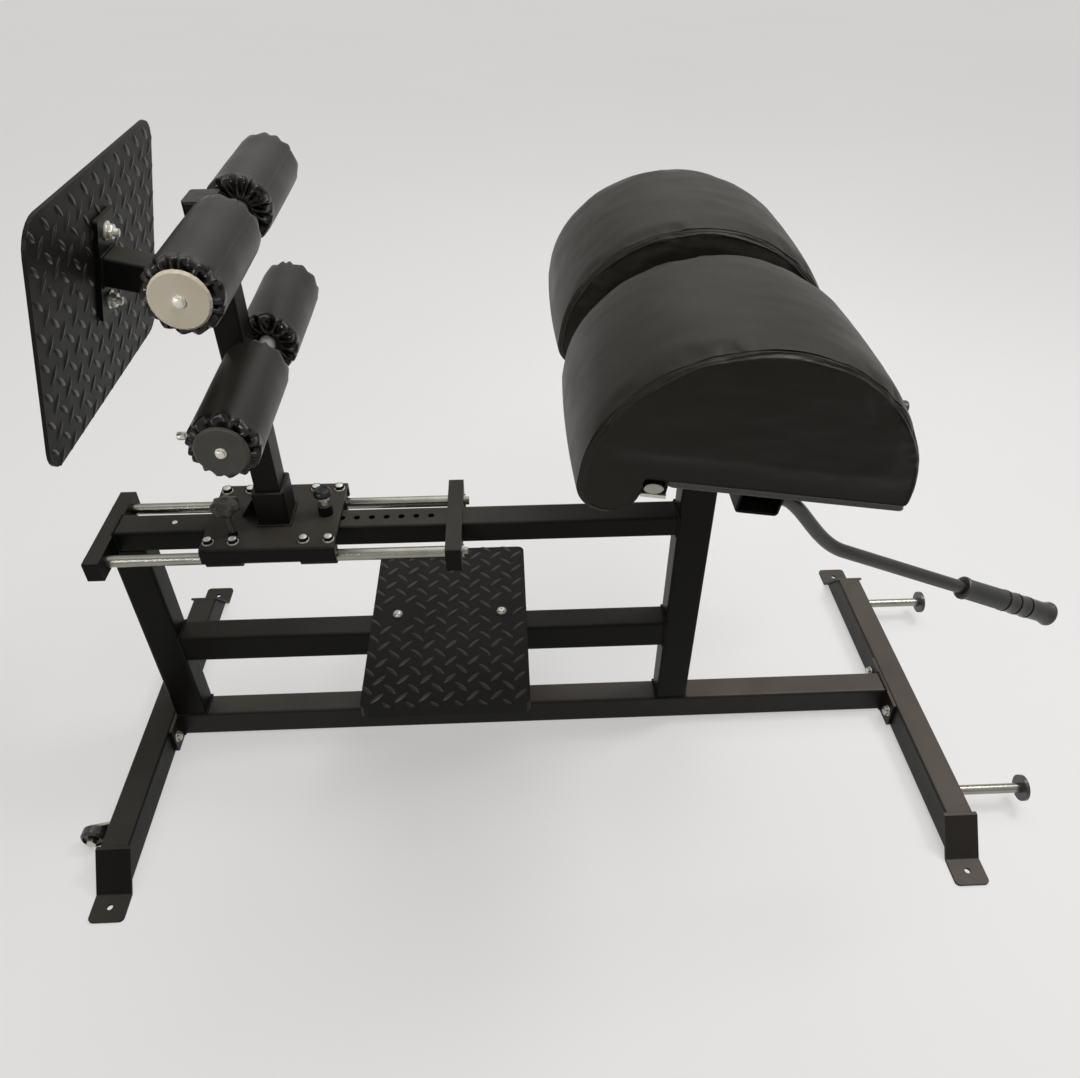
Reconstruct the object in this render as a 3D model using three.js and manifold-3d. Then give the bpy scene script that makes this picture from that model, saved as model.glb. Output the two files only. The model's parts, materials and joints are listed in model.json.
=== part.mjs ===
// Glute ham developer. A low floor frame carries a pair of crowned hip pads at one end. At the
// other end a foot carriage, with ankle rollers and a foot plate, slides on two guide rods over
// an index rail and is held there by a drop pin.
// Millimetres, +Z up. X runs from the foot end to the pad end, Y across. The origin lies on the
// floor, below the middle of the machine. The right side is -Y, the left side is +Y.

import * as THREE from 'three';
import Module from 'manifold-3d';
import { mergeVertices } from 'three/addons/utils/BufferGeometryUtils.js';

const wasm = await Module();
wasm.setup();

// Clearances
const seat = 0.3; // between pieces that are welded, bolted or rest on each other
const runningGap = 0.08; // radial, round a shaft that turns or slides in its bore
const boltGap = 0.5; // radial, round a bolt in its hole
const overrun = 4; // how far a cutter passes the face that it cuts

// Frame tube, 50 wide across and 60 the other way
const tubeWide = 50;
const tubeTall = 60;
const tubeWall = 3;
const tubeCorner = 5;

// Floor frame
const crossbarSpacing = 1496;
const crossbarTopLength = 622;
const footThick = 5;
const footWide = 60;
const footRun = 50; // how far the sloping part of a foot leans out
const footTab = 55;
const footCorner = 8;
const footBend = 3; // inside radius
const footHoleRadius = 5.5;
const footHoleInset = 26;
const flangeThick = 6;
const flangeWide = 136;
const frameBoltRadius = 5;
const frameBoltHead = 8.5; // radius of its hexagon head
const frameBoltHeadTall = 7;
const frameBoltSpacing = 106;
const frameBoltReach = 12; // how far the bolt goes into the crossbar
const ventRadius = 6;

// Uprights and rails
const footUprightStart = 3; // from the foot end crossbar's inner face
const padUprightX = 1020;
const midRailTop = 279;
const railTop = 531;
const railTall = 41;
const indexHoleRadius = 5.5;
const indexPitch = 25;
const indexHolesBack = 6; // holes on the foot side of the pin
const indexHolesAhead = 7; // holes on the pad side of the pin

// Step plate, a folded pan
const stepX = 585;
const stepLong = 290;
const stepWide = 416;
const stepThick = 4;
const stepFold = 24;
const stepCorner = 12;
const stepBoltSpacing = 196;
const stepBoltY = 18;
const stepBoltHead = 8;
const stepBoltHeadTall = 5;

// Guide rods and their brackets
const rodRadius = 10;
const rodSpacing = 140;
const rodDrop = 22.5; // rod centre below the rail's top
const bracketThick = 26;
const bracketWide = 198;
const footBracketX = 32;
const footBracketDrop = 4; // below the rail's top
const padBracketX = 610;
const padBracketRise = 4; // above the rail's top
const rodCapRadius = 12;
const rodCapTall = 3;
const rodBoltRadius = 7.5;
const rodBoltTall = 6;

// Foot carriage
const carriageX = 312;
const carriageLong = 216;
const carriageWide = 181;
const carriagePlateThick = 6;
const carriageRise = 11; // top of the carriage plate above the rail's top
const carriageLip = 28; // depth of the folded sides, from the top
const carriageFold = 7;
const blockLong = 58;
const blockWide = 28;
const blockSpacing = 153;
const blockBoltSpacing = 40;
const blockBoltRadius = 4;
const blockBoltHead = 8.5;
const blockBoltHeadTall = 7;
const socketWall = 6;
const socketTall = 64;
const gussetThick = 6;
const gussetRun = 34;
const gussetTall = 48;

// Post, arm and foot plate
const postX = 314;
const postLong = 40;
const postWide = 50;
const postTop = 1062;
const postCorner = 4;
const postCapTall = 4;
const postCapPlug = 18;
const postPinZ = 701;
const postPinReach = 91;
const postPinBarrel = 8;
const postPinBarrelLong = 34;
const postPinRadius = 4;
const postPinTip = 6.5;
const postPinTipLong = 12;
const plateX = 152;
const plateZ = 948;
const plateTilt = THREE.MathUtils.degToRad(14);
const plateThick = 5;
const plateLong = 336;
const plateWide = 456;
const plateCorner = 38;
const armTall = 42;
const armRise = 30; // arm centre above the plate's centre, along the plate
const armFlangeLong = 142;
const armFlangeWide = 62;
const armFlangeThick = 6;
const plateBoltSpacing = 98;
const plateBoltRadius = 6;
const plateBoltHead = 11;
const plateBoltHeadTall = 8;
const plateNutTall = 9;

// Ankle rollers
const rollerUpperZ = 1034;
const rollerLowerZ = 835;
const axleRadius = 12.5;
const rollerRadius = 46;
const rollerEndRadius = 34;
const rollerInner = 31; // where a roller starts, from the middle
const rollerOuter = 250; // where it ends
const rollerGather = 26; // how much of each end the gathered cover takes
const rollerPleats = 14;
const rollerPleatDepth = 2.6;
const discRadius = 35;
const discThick = 5;
const axleBoltRadius = 6;
const axleBoltHead = 9.5;
const axleBoltHeadTall = 7;

// Index pin and clamp knob
const pinAhead = 83; // pad side of the carriage's middle
const pinRadius = 5;
const pinLift = 10; // travel between held up and dropped in
const pinHeldClear = 2.5; // how far above the rail its tip is held
const pinTipBevel = 1.2;
const pinBarrelRadius = 12;
const pinBarrelTall = 18;
const pinCollarRadius = 9.5;
const pinCollarTall = 7;
const pinKnobRadius = 15;
const pinKnobTall = 15;
const pinKnobEdge = 3; // rounding of the knob's rim
const pinDishRadius = 10;
const pinDishDepth = 5;
const pinButtonRadius = 6;
const pinButtonTall = 3.5; // above the dish's floor
const clampX = 252;
const clampY = 52;
const clampNutRadius = 8;
const clampNutTall = 10;
const clampStemRadius = 4;
const clampCollarRadius = 6.5;
const clampCollarTall = 14;
const clampKnobRadius = 18;
const clampKnobTall = 17;
const clampLobes = 6;
const clampLobeDepth = 2.5;
const clampRise = 52; // underside of the knob above the plate

// Pad support, in a frame tilted with the pads; v is measured from the boards' tops
const padTilt = THREE.MathUtils.degToRad(9);
const padOriginX = 1047;
const padOriginZ = 803;
const boardThick = 14;
const boardFront = 160; // pad end of the boards, from the pad frame's origin
const boardBack = -150;
const boardInset = 8; // how far the pads overhang the boards on each side
const crossTubeLong = 58;
const crossTubeTall = 38;
const crossTubeCentre = -21;
const crossTubeWide = 612;
const frontRodRadius = 13;
const frontRodX = -166;
const frontRodDrop = 14.8;
const frontRodLong = 634;
const angleThick = 5;
const angleLeaf = 34;
const angleLong = 610;

// Hip pads
const padInner = 43;
const padOuter = 328;
const padCentre = -51; // middle of the dome along the boards
const padHalfLong = 211;
const padTall = 188;
const padNoseRadius = 39;
const padNoseDrop = 20;
const padEdgeRadius = 15;
const padCrown = 4;
const padDomeSteps = 26;
const padNoseSteps = 9;
const padEdgeSteps = 4;

// Handles
const handleRadius = 9.5;
const handleY = 290;
const handleBendRun = 106;
const handleBendDrop = 95;
const handleSlope = THREE.MathUtils.degToRad(21.8);
const handleStartPull = 34;
const handleEndPull = 52;
const handleStraight = 200;
const gripLong = 160;
const gripRadius = 15;
const gripRib = 2;
const gripRibWide = 5;
const gripFlare = 3;
const gripEndWall = 6;

// Storage pegs and wheels
const pegRadius = 9;
const pegLong = 124;
const pegSpacing = 504;
const pegZ = 44;
const pegStopRadius = 24;
const pegStopThick = 7;
const pegStopWall = 3;
const wheelRadius = 22;
const wheelWide = 22;
const wheelX = 62; // wheel centre beyond the crossbar's centre
const wheelZ = 26;
const wheelTread = 4;
const wheelInner = 253; // inner face of the wheel, from the middle
const wheelBracketThick = 5;
const wheelBracketTall = 40;
const wheelBoltRadius = 5;
const wheelBoltHead = 9;
const wheelBoltHeadTall = 7;

// Facets
const roundSteps = 24;
const smallSteps = 12;
const gripSteps = 16;
const cornerSteps = 6; // round a corner of the foot plate
const rimSteps = 2; // round the rim of the index pin's knob
const handleSteps = 16; // along a handle
const rollerSteps = 3 * rollerPleats;
const clampSteps = 6 * clampLobes;

// Levels and places that follow from the sizes
const crossbarBottom = footThick + seat;
const crossbarTop = crossbarBottom + tubeTall;
const uprightTop = railTop - railTall - seat;
const footUprightX = tubeWide / 2 + footUprightStart + tubeTall / 2;
const rodZ = railTop - rodDrop;
const footBracketTop = railTop - footBracketDrop;
const padBracketTop = railTop + padBracketRise;
const carriageTop = railTop + carriageRise;
const pinX = carriageX + pinAhead;
const plateUnderside = carriageTop - carriagePlateThick;
const axleX = postX + postLong / 2 + seat + axleRadius;
const machineStart = -(wheelX + wheelRadius);
const pegEnd = crossbarSpacing + tubeWide / 2 + seat + pegLong;
const machineEnd = pegEnd + seat + pegStopWall;
const sides = [['right', -1], ['left', 1]];

// Materials
function finish(color, roughness, metalness) {
  return new THREE.MeshStandardMaterial({ color, roughness, metalness });
}
const blackPaint = finish(0x1b1b1d, 0.45, 0.25);
const treadPaint = finish(0x202022, 0.6, 0.25);
const chrome = finish(0xd8d9dc, 0.15, 1);
const zinc = finish(0xb4b6ba, 0.3, 1);
const blackVinyl = finish(0x1a1a1c, 0.5, 0);
const blackPlastic = finish(0x161617, 0.5, 0);
const creamPlastic = finish(0xcfc6b4, 0.5, 0);
const greyPlastic = finish(0x3c3c3d, 0.5, 0);
const blackRubber = finish(0x1c1c1d, 0.8, 0);
const plywood = finish(0x2a2723, 0.7, 0);

// Points of a regular polygon round (a, b)
function circle(radius, steps, a = 0, b = 0, turn = 0) {
  return Array.from({ length: steps }, (_, i) => {
    const angle = turn + (2 * Math.PI * i) / steps;
    return new THREE.Vector2(a + radius * Math.cos(angle), b + radius * Math.sin(angle));
  });
}

// Points of a closed outline with rounded corners; radius is one value or one for each corner
function filleted(corners, radius, steps = 3) {
  return corners.flatMap((corner, i) => {
    const r = Array.isArray(radius) ? radius[i] : radius;
    const here = new THREE.Vector2(...corner);
    if (r === 0) return [here];
    const back = new THREE.Vector2(...corners.at(i - 1)).sub(here).normalize();
    const on = new THREE.Vector2(...corners[(i + 1) % corners.length]).sub(here).normalize();
    const half = Math.acos(back.dot(on)) / 2;
    const middle = back.clone().add(on).normalize().multiplyScalar(r / Math.sin(half)).add(here);
    const tangent = r / Math.tan(half);
    const start = back.multiplyScalar(tangent).add(here).sub(middle).angle();
    const sweep = on.multiplyScalar(tangent).add(here).sub(middle).angle() - start;
    const turn = sweep - 2 * Math.PI * Math.round(sweep / (2 * Math.PI));
    return Array.from({ length: steps + 1 }, (_, k) => {
      const angle = start + (turn * k) / steps;
      return new THREE.Vector2(middle.x + r * Math.cos(angle), middle.y + r * Math.sin(angle));
    });
  });
}

// Corners of a rectangle between two values each way
function rectangle(a0, a1, b0, b1) {
  return [[a0, b0], [a1, b0], [a1, b1], [a0, b1]];
}

// A prism along an axis. Its outline is in (Y, Z) along x, in (X, Z) along y, in (X, Y) along z.
const directions = {
  x: [new THREE.Vector3(0, 1, 0), new THREE.Vector3(0, 0, 1), new THREE.Vector3(1, 0, 0)],
  y: [new THREE.Vector3(1, 0, 0), new THREE.Vector3(0, 0, 1), new THREE.Vector3(0, -1, 0)],
  z: [new THREE.Vector3(1, 0, 0), new THREE.Vector3(0, 1, 0), new THREE.Vector3(0, 0, 1)],
};
function prism(axis, outline, from, to, holes = []) {
  const shape = new THREE.Shape(outline.map((point) => new THREE.Vector2(...point)));
  shape.holes = holes.map((hole) => new THREE.Path(hole.map((point) => new THREE.Vector2(...point))));
  const geometry = new THREE.ExtrudeGeometry(shape, { depth: to - from, bevelEnabled: false });
  const [u, v, w] = directions[axis];
  const start = w.clone().multiplyScalar(axis === 'y' ? -to : from);
  return geometry.applyMatrix4(new THREE.Matrix4().makeBasis(u, v, w).setPosition(start));
}

// A round bar along an axis, with its centre at (a, b) across it
function bar(axis, radius, from, to, a, b, steps = roundSteps) {
  return prism(axis, circle(radius, steps, a, b), from, to);
}

// A hexagon along an axis
function hexagon(axis, radius, from, to, a, b) {
  return prism(axis, circle(radius, 6, a, b), from, to);
}

// A square tube along an axis, given by its outer sides
function tube(axis, a0, a1, b0, b1, from, to, wall = tubeWall, corner = tubeCorner) {
  const outer = filleted(rectangle(a0, a1, b0, b1), corner);
  const inner = filleted(rectangle(a0 + wall, a1 - wall, b0 + wall, b1 - wall), corner - wall, 2);
  return prism(axis, outer, from, to, [inner]);
}

// A piece turned round the Y axis from an outline in (radius, Y), listed anticlockwise
function turned(outline, steps = roundSteps) {
  const points = outline.map((point) => new THREE.Vector2(...point));
  if (points[0].x > 0) points.push(points[0].clone());
  return welded(new THREE.LatheGeometry(points, steps));
}

// A geometry with shared corners and no flat triangles
function welded(geometry) {
  const bare = geometry.clone();
  bare.deleteAttribute('normal');
  bare.deleteAttribute('uv');
  const merged = mergeVertices(bare);
  const corners = merged.index.array;
  const kept = [];
  for (let i = 0; i < corners.length; i += 3) {
    const [a, b, c] = corners.slice(i, i + 3);
    if (a !== b && b !== c && c !== a) kept.push(a, b, c);
  }
  merged.setIndex(kept);
  return merged;
}

// Joins and cuts
function solid(geometry) {
  const mesh = welded(geometry);
  return new wasm.Manifold(new wasm.Mesh({
    numProp: 3,
    vertProperties: new Float32Array(mesh.attributes.position.array),
    triVerts: new Uint32Array(mesh.index.array),
  }));
}
function surface(manifold) {
  const mesh = manifold.getMesh();
  const geometry = new THREE.BufferGeometry();
  geometry.setAttribute('position', new THREE.BufferAttribute(new Float32Array(mesh.vertProperties), 3));
  geometry.setIndex(Array.from(mesh.triVerts));
  return geometry;
}
function join(first, ...others) {
  return surface(others.reduce((whole, other) => whole.add(solid(other)), solid(first)));
}
function cut(base, ...cutters) {
  return surface(cutters.reduce((whole, cutter) => whole.subtract(solid(cutter)), solid(base)));
}
function common(first, second) {
  return surface(solid(first).intersect(solid(second)));
}

// The scene graph: the machine, with groups for what stands at an angle
const machine = new THREE.Group();
machine.position.x = -(machineStart + machineEnd) / 2;
const padFrame = new THREE.Group();
padFrame.position.set(padOriginX, 0, padOriginZ);
padFrame.rotation.y = padTilt;
machine.add(padFrame);
const plateFrame = new THREE.Group();
plateFrame.position.set(plateX, 0, plateZ);
plateFrame.rotation.y = plateTilt;
machine.add(plateFrame);

function add(name, geometry, material, parent = machine) {
  if (!geometry.attributes.normal) geometry.computeVertexNormals();
  const mesh = new THREE.Mesh(geometry, material);
  mesh.name = name;
  parent.add(mesh);
  return mesh;
}

// The same piece on the other side of the middle
function mirrored(geometry) {
  const flipped = welded(geometry).applyMatrix4(new THREE.Matrix4().makeScale(1, -1, 1));
  const corners = Array.from(flipped.index.array);
  for (let i = 0; i < corners.length; i += 3) {
    [corners[i], corners[i + 1]] = [corners[i + 1], corners[i]];
  }
  flipped.setIndex(corners);
  return flipped;
}
function onSide(side, geometry) {
  return side > 0 ? geometry : mirrored(geometry);
}

// A piece given in the frame of a tilted group, in the machine's own frame
function placed(geometry, group) {
  group.updateMatrix();
  return geometry.applyMatrix4(group.matrix);
}

// Crossbars, whose ends are mitred to the slope of the feet
const footSlopeLong = Math.hypot(footRun, tubeTall);
const slopeOut = [tubeTall / footSlopeLong, footRun / footSlopeLong];
function slopeAt(z, offset) {
  return [crossbarTopLength / 2 + (offset + slopeOut[1] * (crossbarTop - z)) / slopeOut[0], z];
}
function crossbarTube(x) {
  const half = tubeWide / 2;
  const reach = crossbarTopLength / 2 + footRun + overrun;
  const whole = tube('y', x - half, x + half, crossbarBottom, crossbarTop, -reach, reach);
  const [topY, topZ] = slopeAt(crossbarTop + overrun, 0);
  const [bottomY, bottomZ] = slopeAt(crossbarBottom - overrun, 0);
  const mitre = [[-bottomY, bottomZ], [bottomY, bottomZ], [topY, topZ], [-topY, topZ]];
  return common(whole, prism('x', mitre, x - tubeWide, x + tubeWide));
}
const frameBoltZ = crossbarBottom + tubeTall / 2;
function frameBoltHoles(from, to) {
  return sides.map(([, side]) => (
    bar('x', frameBoltRadius + boltGap, from, to, (side * frameBoltSpacing) / 2, frameBoltZ, smallSteps)
  ));
}
const innerFace = tubeWide / 2;
add('foot_end_crossbar', cut(
  crossbarTube(0),
  ...frameBoltHoles(innerFace - tubeWall - overrun, innerFace + overrun),
), blackPaint);
const padInnerFace = crossbarSpacing - tubeWide / 2;
add('pad_end_crossbar', cut(
  crossbarTube(crossbarSpacing),
  ...frameBoltHoles(padInnerFace - overrun, padInnerFace + tubeWall + overrun),
), blackPaint);

// Feet: a sloping plate closes each crossbar's end and runs out into a drilled tab on the floor
function bentFoot(x) {
  const end = crossbarTopLength / 2 + footRun + footTab;
  const [left, right] = [x - footWide / 2, x + footWide / 2];
  const profile = filleted([
    slopeAt(crossbarTop, seat), slopeAt(0, seat), [end, 0],
    [end, footThick], slopeAt(footThick, seat + footThick), slopeAt(crossbarTop, seat + footThick),
  ], [0, footBend + footThick, 0, 0, footBend, 0]);
  const plan = filleted(rectangle(left, right, 0, end), [0, 0, footCorner, footCorner]);
  const hole = circle(footHoleRadius, smallSteps, x, end - footHoleInset);
  return common(
    prism('x', profile, left, right),
    prism('z', plan, -overrun, crossbarTop + overrun, [hole]),
  );
}
for (const [end, x] of [['foot_end', 0], ['pad_end', crossbarSpacing]]) {
  for (const [name, side] of sides) add(`${end}_foot_${name}`, onSide(side, bentFoot(x)), blackPaint);
}

// Lower beam, with a welded flange and its pair of bolts at each end
const beamStart = tubeWide / 2 + seat;
const beamEnd = crossbarSpacing - beamStart;
function beamFlange(from) {
  const sidesAndLevels = rectangle(-flangeWide / 2, flangeWide / 2, crossbarBottom, crossbarTop);
  const outline = filleted(sidesAndLevels, tubeCorner);
  return prism('x', outline, from, from + flangeThick, [circle(ventRadius, smallSteps, 0, frameBoltZ)]);
}
function flangeBolts(face, out) {
  const inner = face - out * flangeThick;
  const spans = (a, b) => [Math.min(a, b), Math.max(a, b)];
  return sides.flatMap(([, side]) => {
    const y = (side * frameBoltSpacing) / 2;
    return [
      bar('x', frameBoltRadius, ...spans(inner, face + out * frameBoltReach), y, frameBoltZ, smallSteps),
      hexagon('x', frameBoltHead, ...spans(inner, inner - out * frameBoltHeadTall), y, frameBoltZ),
    ];
  });
}
add('lower_beam', join(
  tube('x', -tubeWide / 2, tubeWide / 2, crossbarBottom, crossbarTop, beamStart, beamEnd),
  beamFlange(beamStart),
  beamFlange(beamEnd - flangeThick),
  ...flangeBolts(beamStart, -1),
  ...flangeBolts(beamEnd, 1),
), blackPaint);

// Uprights: the foot end one carries the index rail, the pad end one the tilted cross tube
const footUprightFaces = [footUprightX - tubeTall / 2, footUprightX + tubeTall / 2];
const padUprightFaces = [padUprightX - tubeTall / 2, padUprightX + tubeTall / 2];
const uprightBottom = crossbarTop + seat;
const halfWide = tubeWide / 2;
add('foot_end_upright', tube(
  'z', ...footUprightFaces, -halfWide, halfWide, uprightBottom, uprightTop,
), blackPaint);
const crossTubeTop = -(boardThick + seat);
const crossTubeBottom = crossTubeTop - crossTubeTall;
const aboveUpright = prism(
  'z',
  rectangle(-tubeTall, tubeTall, -tubeWide, tubeWide),
  crossTubeBottom - seat,
  crossTubeTall,
);
add('pad_end_upright', cut(
  tube('z', ...padUprightFaces, -halfWide, halfWide, uprightBottom, padOriginZ),
  placed(aboveUpright, padFrame),
), blackPaint);

// Mid rail between the uprights
add('mid_rail', tube(
  'x', -halfWide, halfWide, midRailTop - tubeTall, midRailTop,
  footUprightFaces[1] + seat, padUprightFaces[0] - seat,
), blackPaint);

// Index rail, drilled in its top for the drop pin
const railBottom = railTop - railTall;
const footBracketFaces = [footBracketX - bracketThick / 2, footBracketX + bracketThick / 2];
const padBracketFaces = [padBracketX - bracketThick / 2, padBracketX + bracketThick / 2];
const indexHoleCount = indexHolesBack + 1 + indexHolesAhead;
const indexHoles = Array.from({ length: indexHoleCount }, (_, i) => bar(
  'z', indexHoleRadius, railTop - tubeWall - overrun, railTop + overrun,
  pinX + (i - indexHolesBack) * indexPitch, 0, smallSteps,
));
add('index_rail', cut(
  tube(
    'x', -halfWide, halfWide, railBottom, railTop,
    footBracketFaces[1] + seat, padUprightFaces[0] - seat,
  ),
  ...indexHoles,
), blackPaint);

// Step plate: a pan with folded edges, notched over the mid rail and bolted to it
function stepPlate() {
  const top = midRailTop + seat + stepThick;
  const [x, y] = [stepLong / 2, stepWide / 2];
  const outer = filleted(rectangle(stepX - x, stepX + x, -y, y), stepCorner);
  const inner = filleted(
    rectangle(stepX - x + stepThick, stepX + x - stepThick, stepThick - y, y - stepThick),
    stepCorner - stepThick,
  );
  const notchHalf = halfWide + seat;
  const notch = prism(
    'x', rectangle(-notchHalf, notchHalf, top - stepFold - overrun, midRailTop + seat),
    stepX - stepLong, stepX + stepLong,
  );
  const folded = cut(
    prism('z', outer, top - stepFold, top),
    prism('z', inner, top - stepFold - overrun, top - stepThick),
    notch,
  );
  const heads = [-1, 1].map((end) => hexagon(
    'z', stepBoltHead, top - stepThick / 2, top + stepBoltHeadTall,
    stepX + (end * stepBoltSpacing) / 2, stepBoltY,
  ));
  return join(folded, ...heads);
}
add('step_plate', stepPlate(), treadPaint);

// Guide rods between two brackets; the pad side bracket straddles the index rail
const rodHoles = sides.map(([, side]) => (
  circle(rodRadius + seat, roundSteps, (side * rodSpacing) / 2, rodZ)
));
const bracketHalf = bracketWide / 2;
add('rod_bracket_foot_end', prism(
  'x', filleted(rectangle(-bracketHalf, bracketHalf, railBottom, footBracketTop), tubeWall),
  ...footBracketFaces, rodHoles,
), blackPaint);
const saddleHalf = halfWide + seat;
add('rod_bracket_pad_end', prism(
  'x', filleted([
    [-bracketHalf, railBottom], [-saddleHalf, railBottom], [-saddleHalf, railTop + seat],
    [saddleHalf, railTop + seat], [saddleHalf, railBottom], [bracketHalf, railBottom],
    [bracketHalf, padBracketTop], [-bracketHalf, padBracketTop],
  ], [tubeWall, 0, 0, 0, 0, tubeWall, tubeWall, tubeWall]),
  ...padBracketFaces, rodHoles,
), blackPaint);
for (const [name, side] of sides) {
  const y = (side * rodSpacing) / 2;
  const [start, end] = [footBracketFaces[0] - seat, padBracketFaces[1] + seat];
  add(`guide_rod_${name}`, join(
    bar('x', rodRadius, start, end, y, rodZ),
    bar('x', rodCapRadius, start - rodCapTall, start, y, rodZ),
    bar('x', rodCapRadius, end, end + rodCapTall, y, rodZ),
    hexagon('x', rodBoltRadius, start - rodCapTall - rodBoltTall, start - rodCapTall, y, rodZ),
    hexagon('x', rodBoltRadius, end + rodCapTall, end + rodCapTall + rodBoltTall, y, rodZ),
  ), chrome);
}

// Storage pegs on the pad end crossbar, each with a rubber stop
const pegStart = crossbarSpacing + tubeWide / 2 + seat;
function toX(mesh, x, y, z) {
  mesh.rotation.z = -Math.PI / 2;
  mesh.position.set(x, y, z);
}
for (const [name, side] of sides) {
  const y = (side * pegSpacing) / 2;
  add(`storage_peg_${name}`, bar('x', pegRadius, pegStart, pegEnd, y, pegZ), chrome);
  const bore = pegRadius + seat;
  const depth = pegStopThick - pegStopWall;
  const stop = turned([
    [bore, 0], [pegStopRadius, 0], [pegStopRadius, pegStopThick],
    [0, pegStopThick], [0, depth], [bore, depth],
  ]);
  toX(add(`peg_stop_${name}`, stop, blackRubber), pegEnd + seat - depth, y, pegZ);
}

// Transport wheels beside the foot end crossbar, each on a bracket with its axle bolt
const wheelHubShare = 0.45;
const wheelRimShare = 0.78;
const wheelDishShare = 0.16;
for (const [name, side] of sides) {
  const bracketOuter = wheelInner - seat;
  const [near, far] = [-innerFace - seat, -wheelX - wheelBoltHead];
  const outline = filleted([
    [near, wheelZ - wheelBracketTall / 2], [near, wheelZ + wheelBracketTall / 2],
    [far, wheelZ + wheelBoltHead], [far, wheelZ - wheelBoltHead],
  ], [0, 0, wheelBoltRadius, wheelBoltRadius]);
  const headStart = wheelInner + wheelWide + seat;
  add(`wheel_bracket_${name}`, onSide(side, join(
    prism('y', outline, bracketOuter - wheelBracketThick, bracketOuter),
    bar('y', wheelBoltRadius, bracketOuter - wheelBracketThick / 2, headStart, -wheelX, wheelZ),
    hexagon('y', wheelBoltHead, headStart, headStart + wheelBoltHeadTall, -wheelX, wheelZ),
  )), zinc);
  const bore = wheelBoltRadius + runningGap;
  const [hub, rim] = [wheelRadius * wheelHubShare, wheelRadius * wheelRimShare];
  const dish = wheelWide * wheelDishShare;
  const wheel = turned([
    [bore, 0], [hub, 0], [hub, dish], [rim, dish], [rim, 0], [wheelRadius - wheelTread, 0],
    [wheelRadius, wheelTread], [wheelRadius, wheelWide - wheelTread], [wheelRadius - wheelTread, wheelWide],
    [rim, wheelWide], [rim, wheelWide - dish], [hub, wheelWide - dish], [hub, wheelWide], [bore, wheelWide],
  ]);
  add(`transport_wheel_${name}`, wheel, blackRubber)
    .position.set(-wheelX, side > 0 ? wheelInner : -wheelInner - wheelWide, wheelZ);
}

// Pad support: cross tube on the upright, front rod lying in an angle, and a board for each pad
const crossTubeFaces = [crossTubeCentre - crossTubeLong / 2, crossTubeCentre + crossTubeLong / 2];
add('pad_cross_tube', tube(
  'y', ...crossTubeFaces, crossTubeBottom, crossTubeTop, -crossTubeWide / 2, crossTubeWide / 2,
), blackPaint, padFrame);
add('front_rod', bar(
  'y', frontRodRadius, -frontRodLong / 2, frontRodLong / 2, frontRodX, -frontRodDrop,
), chrome, padFrame);
const webStart = frontRodX + frontRodRadius + seat;
const leafTop = -frontRodDrop - frontRodRadius - seat;
add('front_angle', prism('y', [
  [webStart + angleThick - angleLeaf, leafTop - angleThick], [webStart + angleThick, leafTop - angleThick],
  [webStart + angleThick, crossTubeTop], [webStart, crossTubeTop],
  [webStart, leafTop], [webStart + angleThick - angleLeaf, leafTop],
], -angleLong / 2, angleLong / 2), blackPaint, padFrame);
for (const [name, side] of sides) {
  const edges = rectangle(boardBack, boardFront, padInner + boardInset, padOuter - boardInset);
  const board = prism('z', filleted(edges, boardInset), -boardThick, -seat);
  add(`pad_board_${name}`, onSide(side, board), plywood, padFrame);
}

// Hip pads: a half dome that wraps down over the front edge, with rounded ends and a slight crown
const noseBack = padCentre - padHalfLong + 2 * padNoseRadius;
function padOutline(inset) {
  const [long, tall] = [padHalfLong - inset, padTall - inset];
  const dome = Array.from({ length: padDomeSteps + 1 }, (_, i) => {
    const angle = (Math.PI * i) / padDomeSteps;
    return [padCentre + long * Math.cos(angle), tall * Math.sin(angle)];
  });
  const noseHalf = (noseBack - padCentre + long) / 2;
  const under = Array.from({ length: padNoseSteps + 1 }, (_, i) => {
    const angle = Math.PI + (Math.PI * i) / padNoseSteps;
    const drop = padNoseDrop - (padNoseRadius - inset) * Math.sin(angle);
    return [noseBack - noseHalf + noseHalf * Math.cos(angle), -drop];
  });
  return [...dome, ...under, [noseBack, 0]];
}
function cushion() {
  const rings = [];
  for (let i = 0; i <= padEdgeSteps; i += 1) {
    const angle = (Math.PI / 2) * (i / padEdgeSteps);
    rings.push([padInner + padEdgeRadius * (1 - Math.cos(angle)), padEdgeRadius * (1 - Math.sin(angle))]);
  }
  const middle = (padInner + padOuter) / 2;
  const ends = [...rings].reverse().map(([y, inset]) => [2 * middle - y, inset]);
  const slices = [...rings, [middle, -padCrown], ...ends];
  const outlines = slices.map(([y, inset]) => padOutline(inset).map(([x, z]) => [x, y, z]));
  const count = outlines[0].length;
  const corners = [];
  for (let s = 0; s + 1 < outlines.length; s += 1) {
    for (let i = 0; i < count; i += 1) {
      const [a, b] = [s * count + i, s * count + ((i + 1) % count)];
      corners.push(a, a + count, b, b, a + count, b + count);
    }
  }
  const capOutline = outlines[0].map(([x, , z]) => new THREE.Vector2(x, z));
  const last = (outlines.length - 1) * count;
  for (const [a, b, c] of THREE.ShapeUtils.triangulateShape(capOutline, [])) {
    corners.push(a, b, c, last + a, last + c, last + b);
  }
  const geometry = new THREE.BufferGeometry();
  geometry.setAttribute('position', new THREE.Float32BufferAttribute(outlines.flat(2), 3));
  geometry.setIndex(corners);
  return geometry;
}
for (const [name, side] of sides) add(`hip_pad_${name}`, onSide(side, cushion()), blackVinyl, padFrame);

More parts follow.
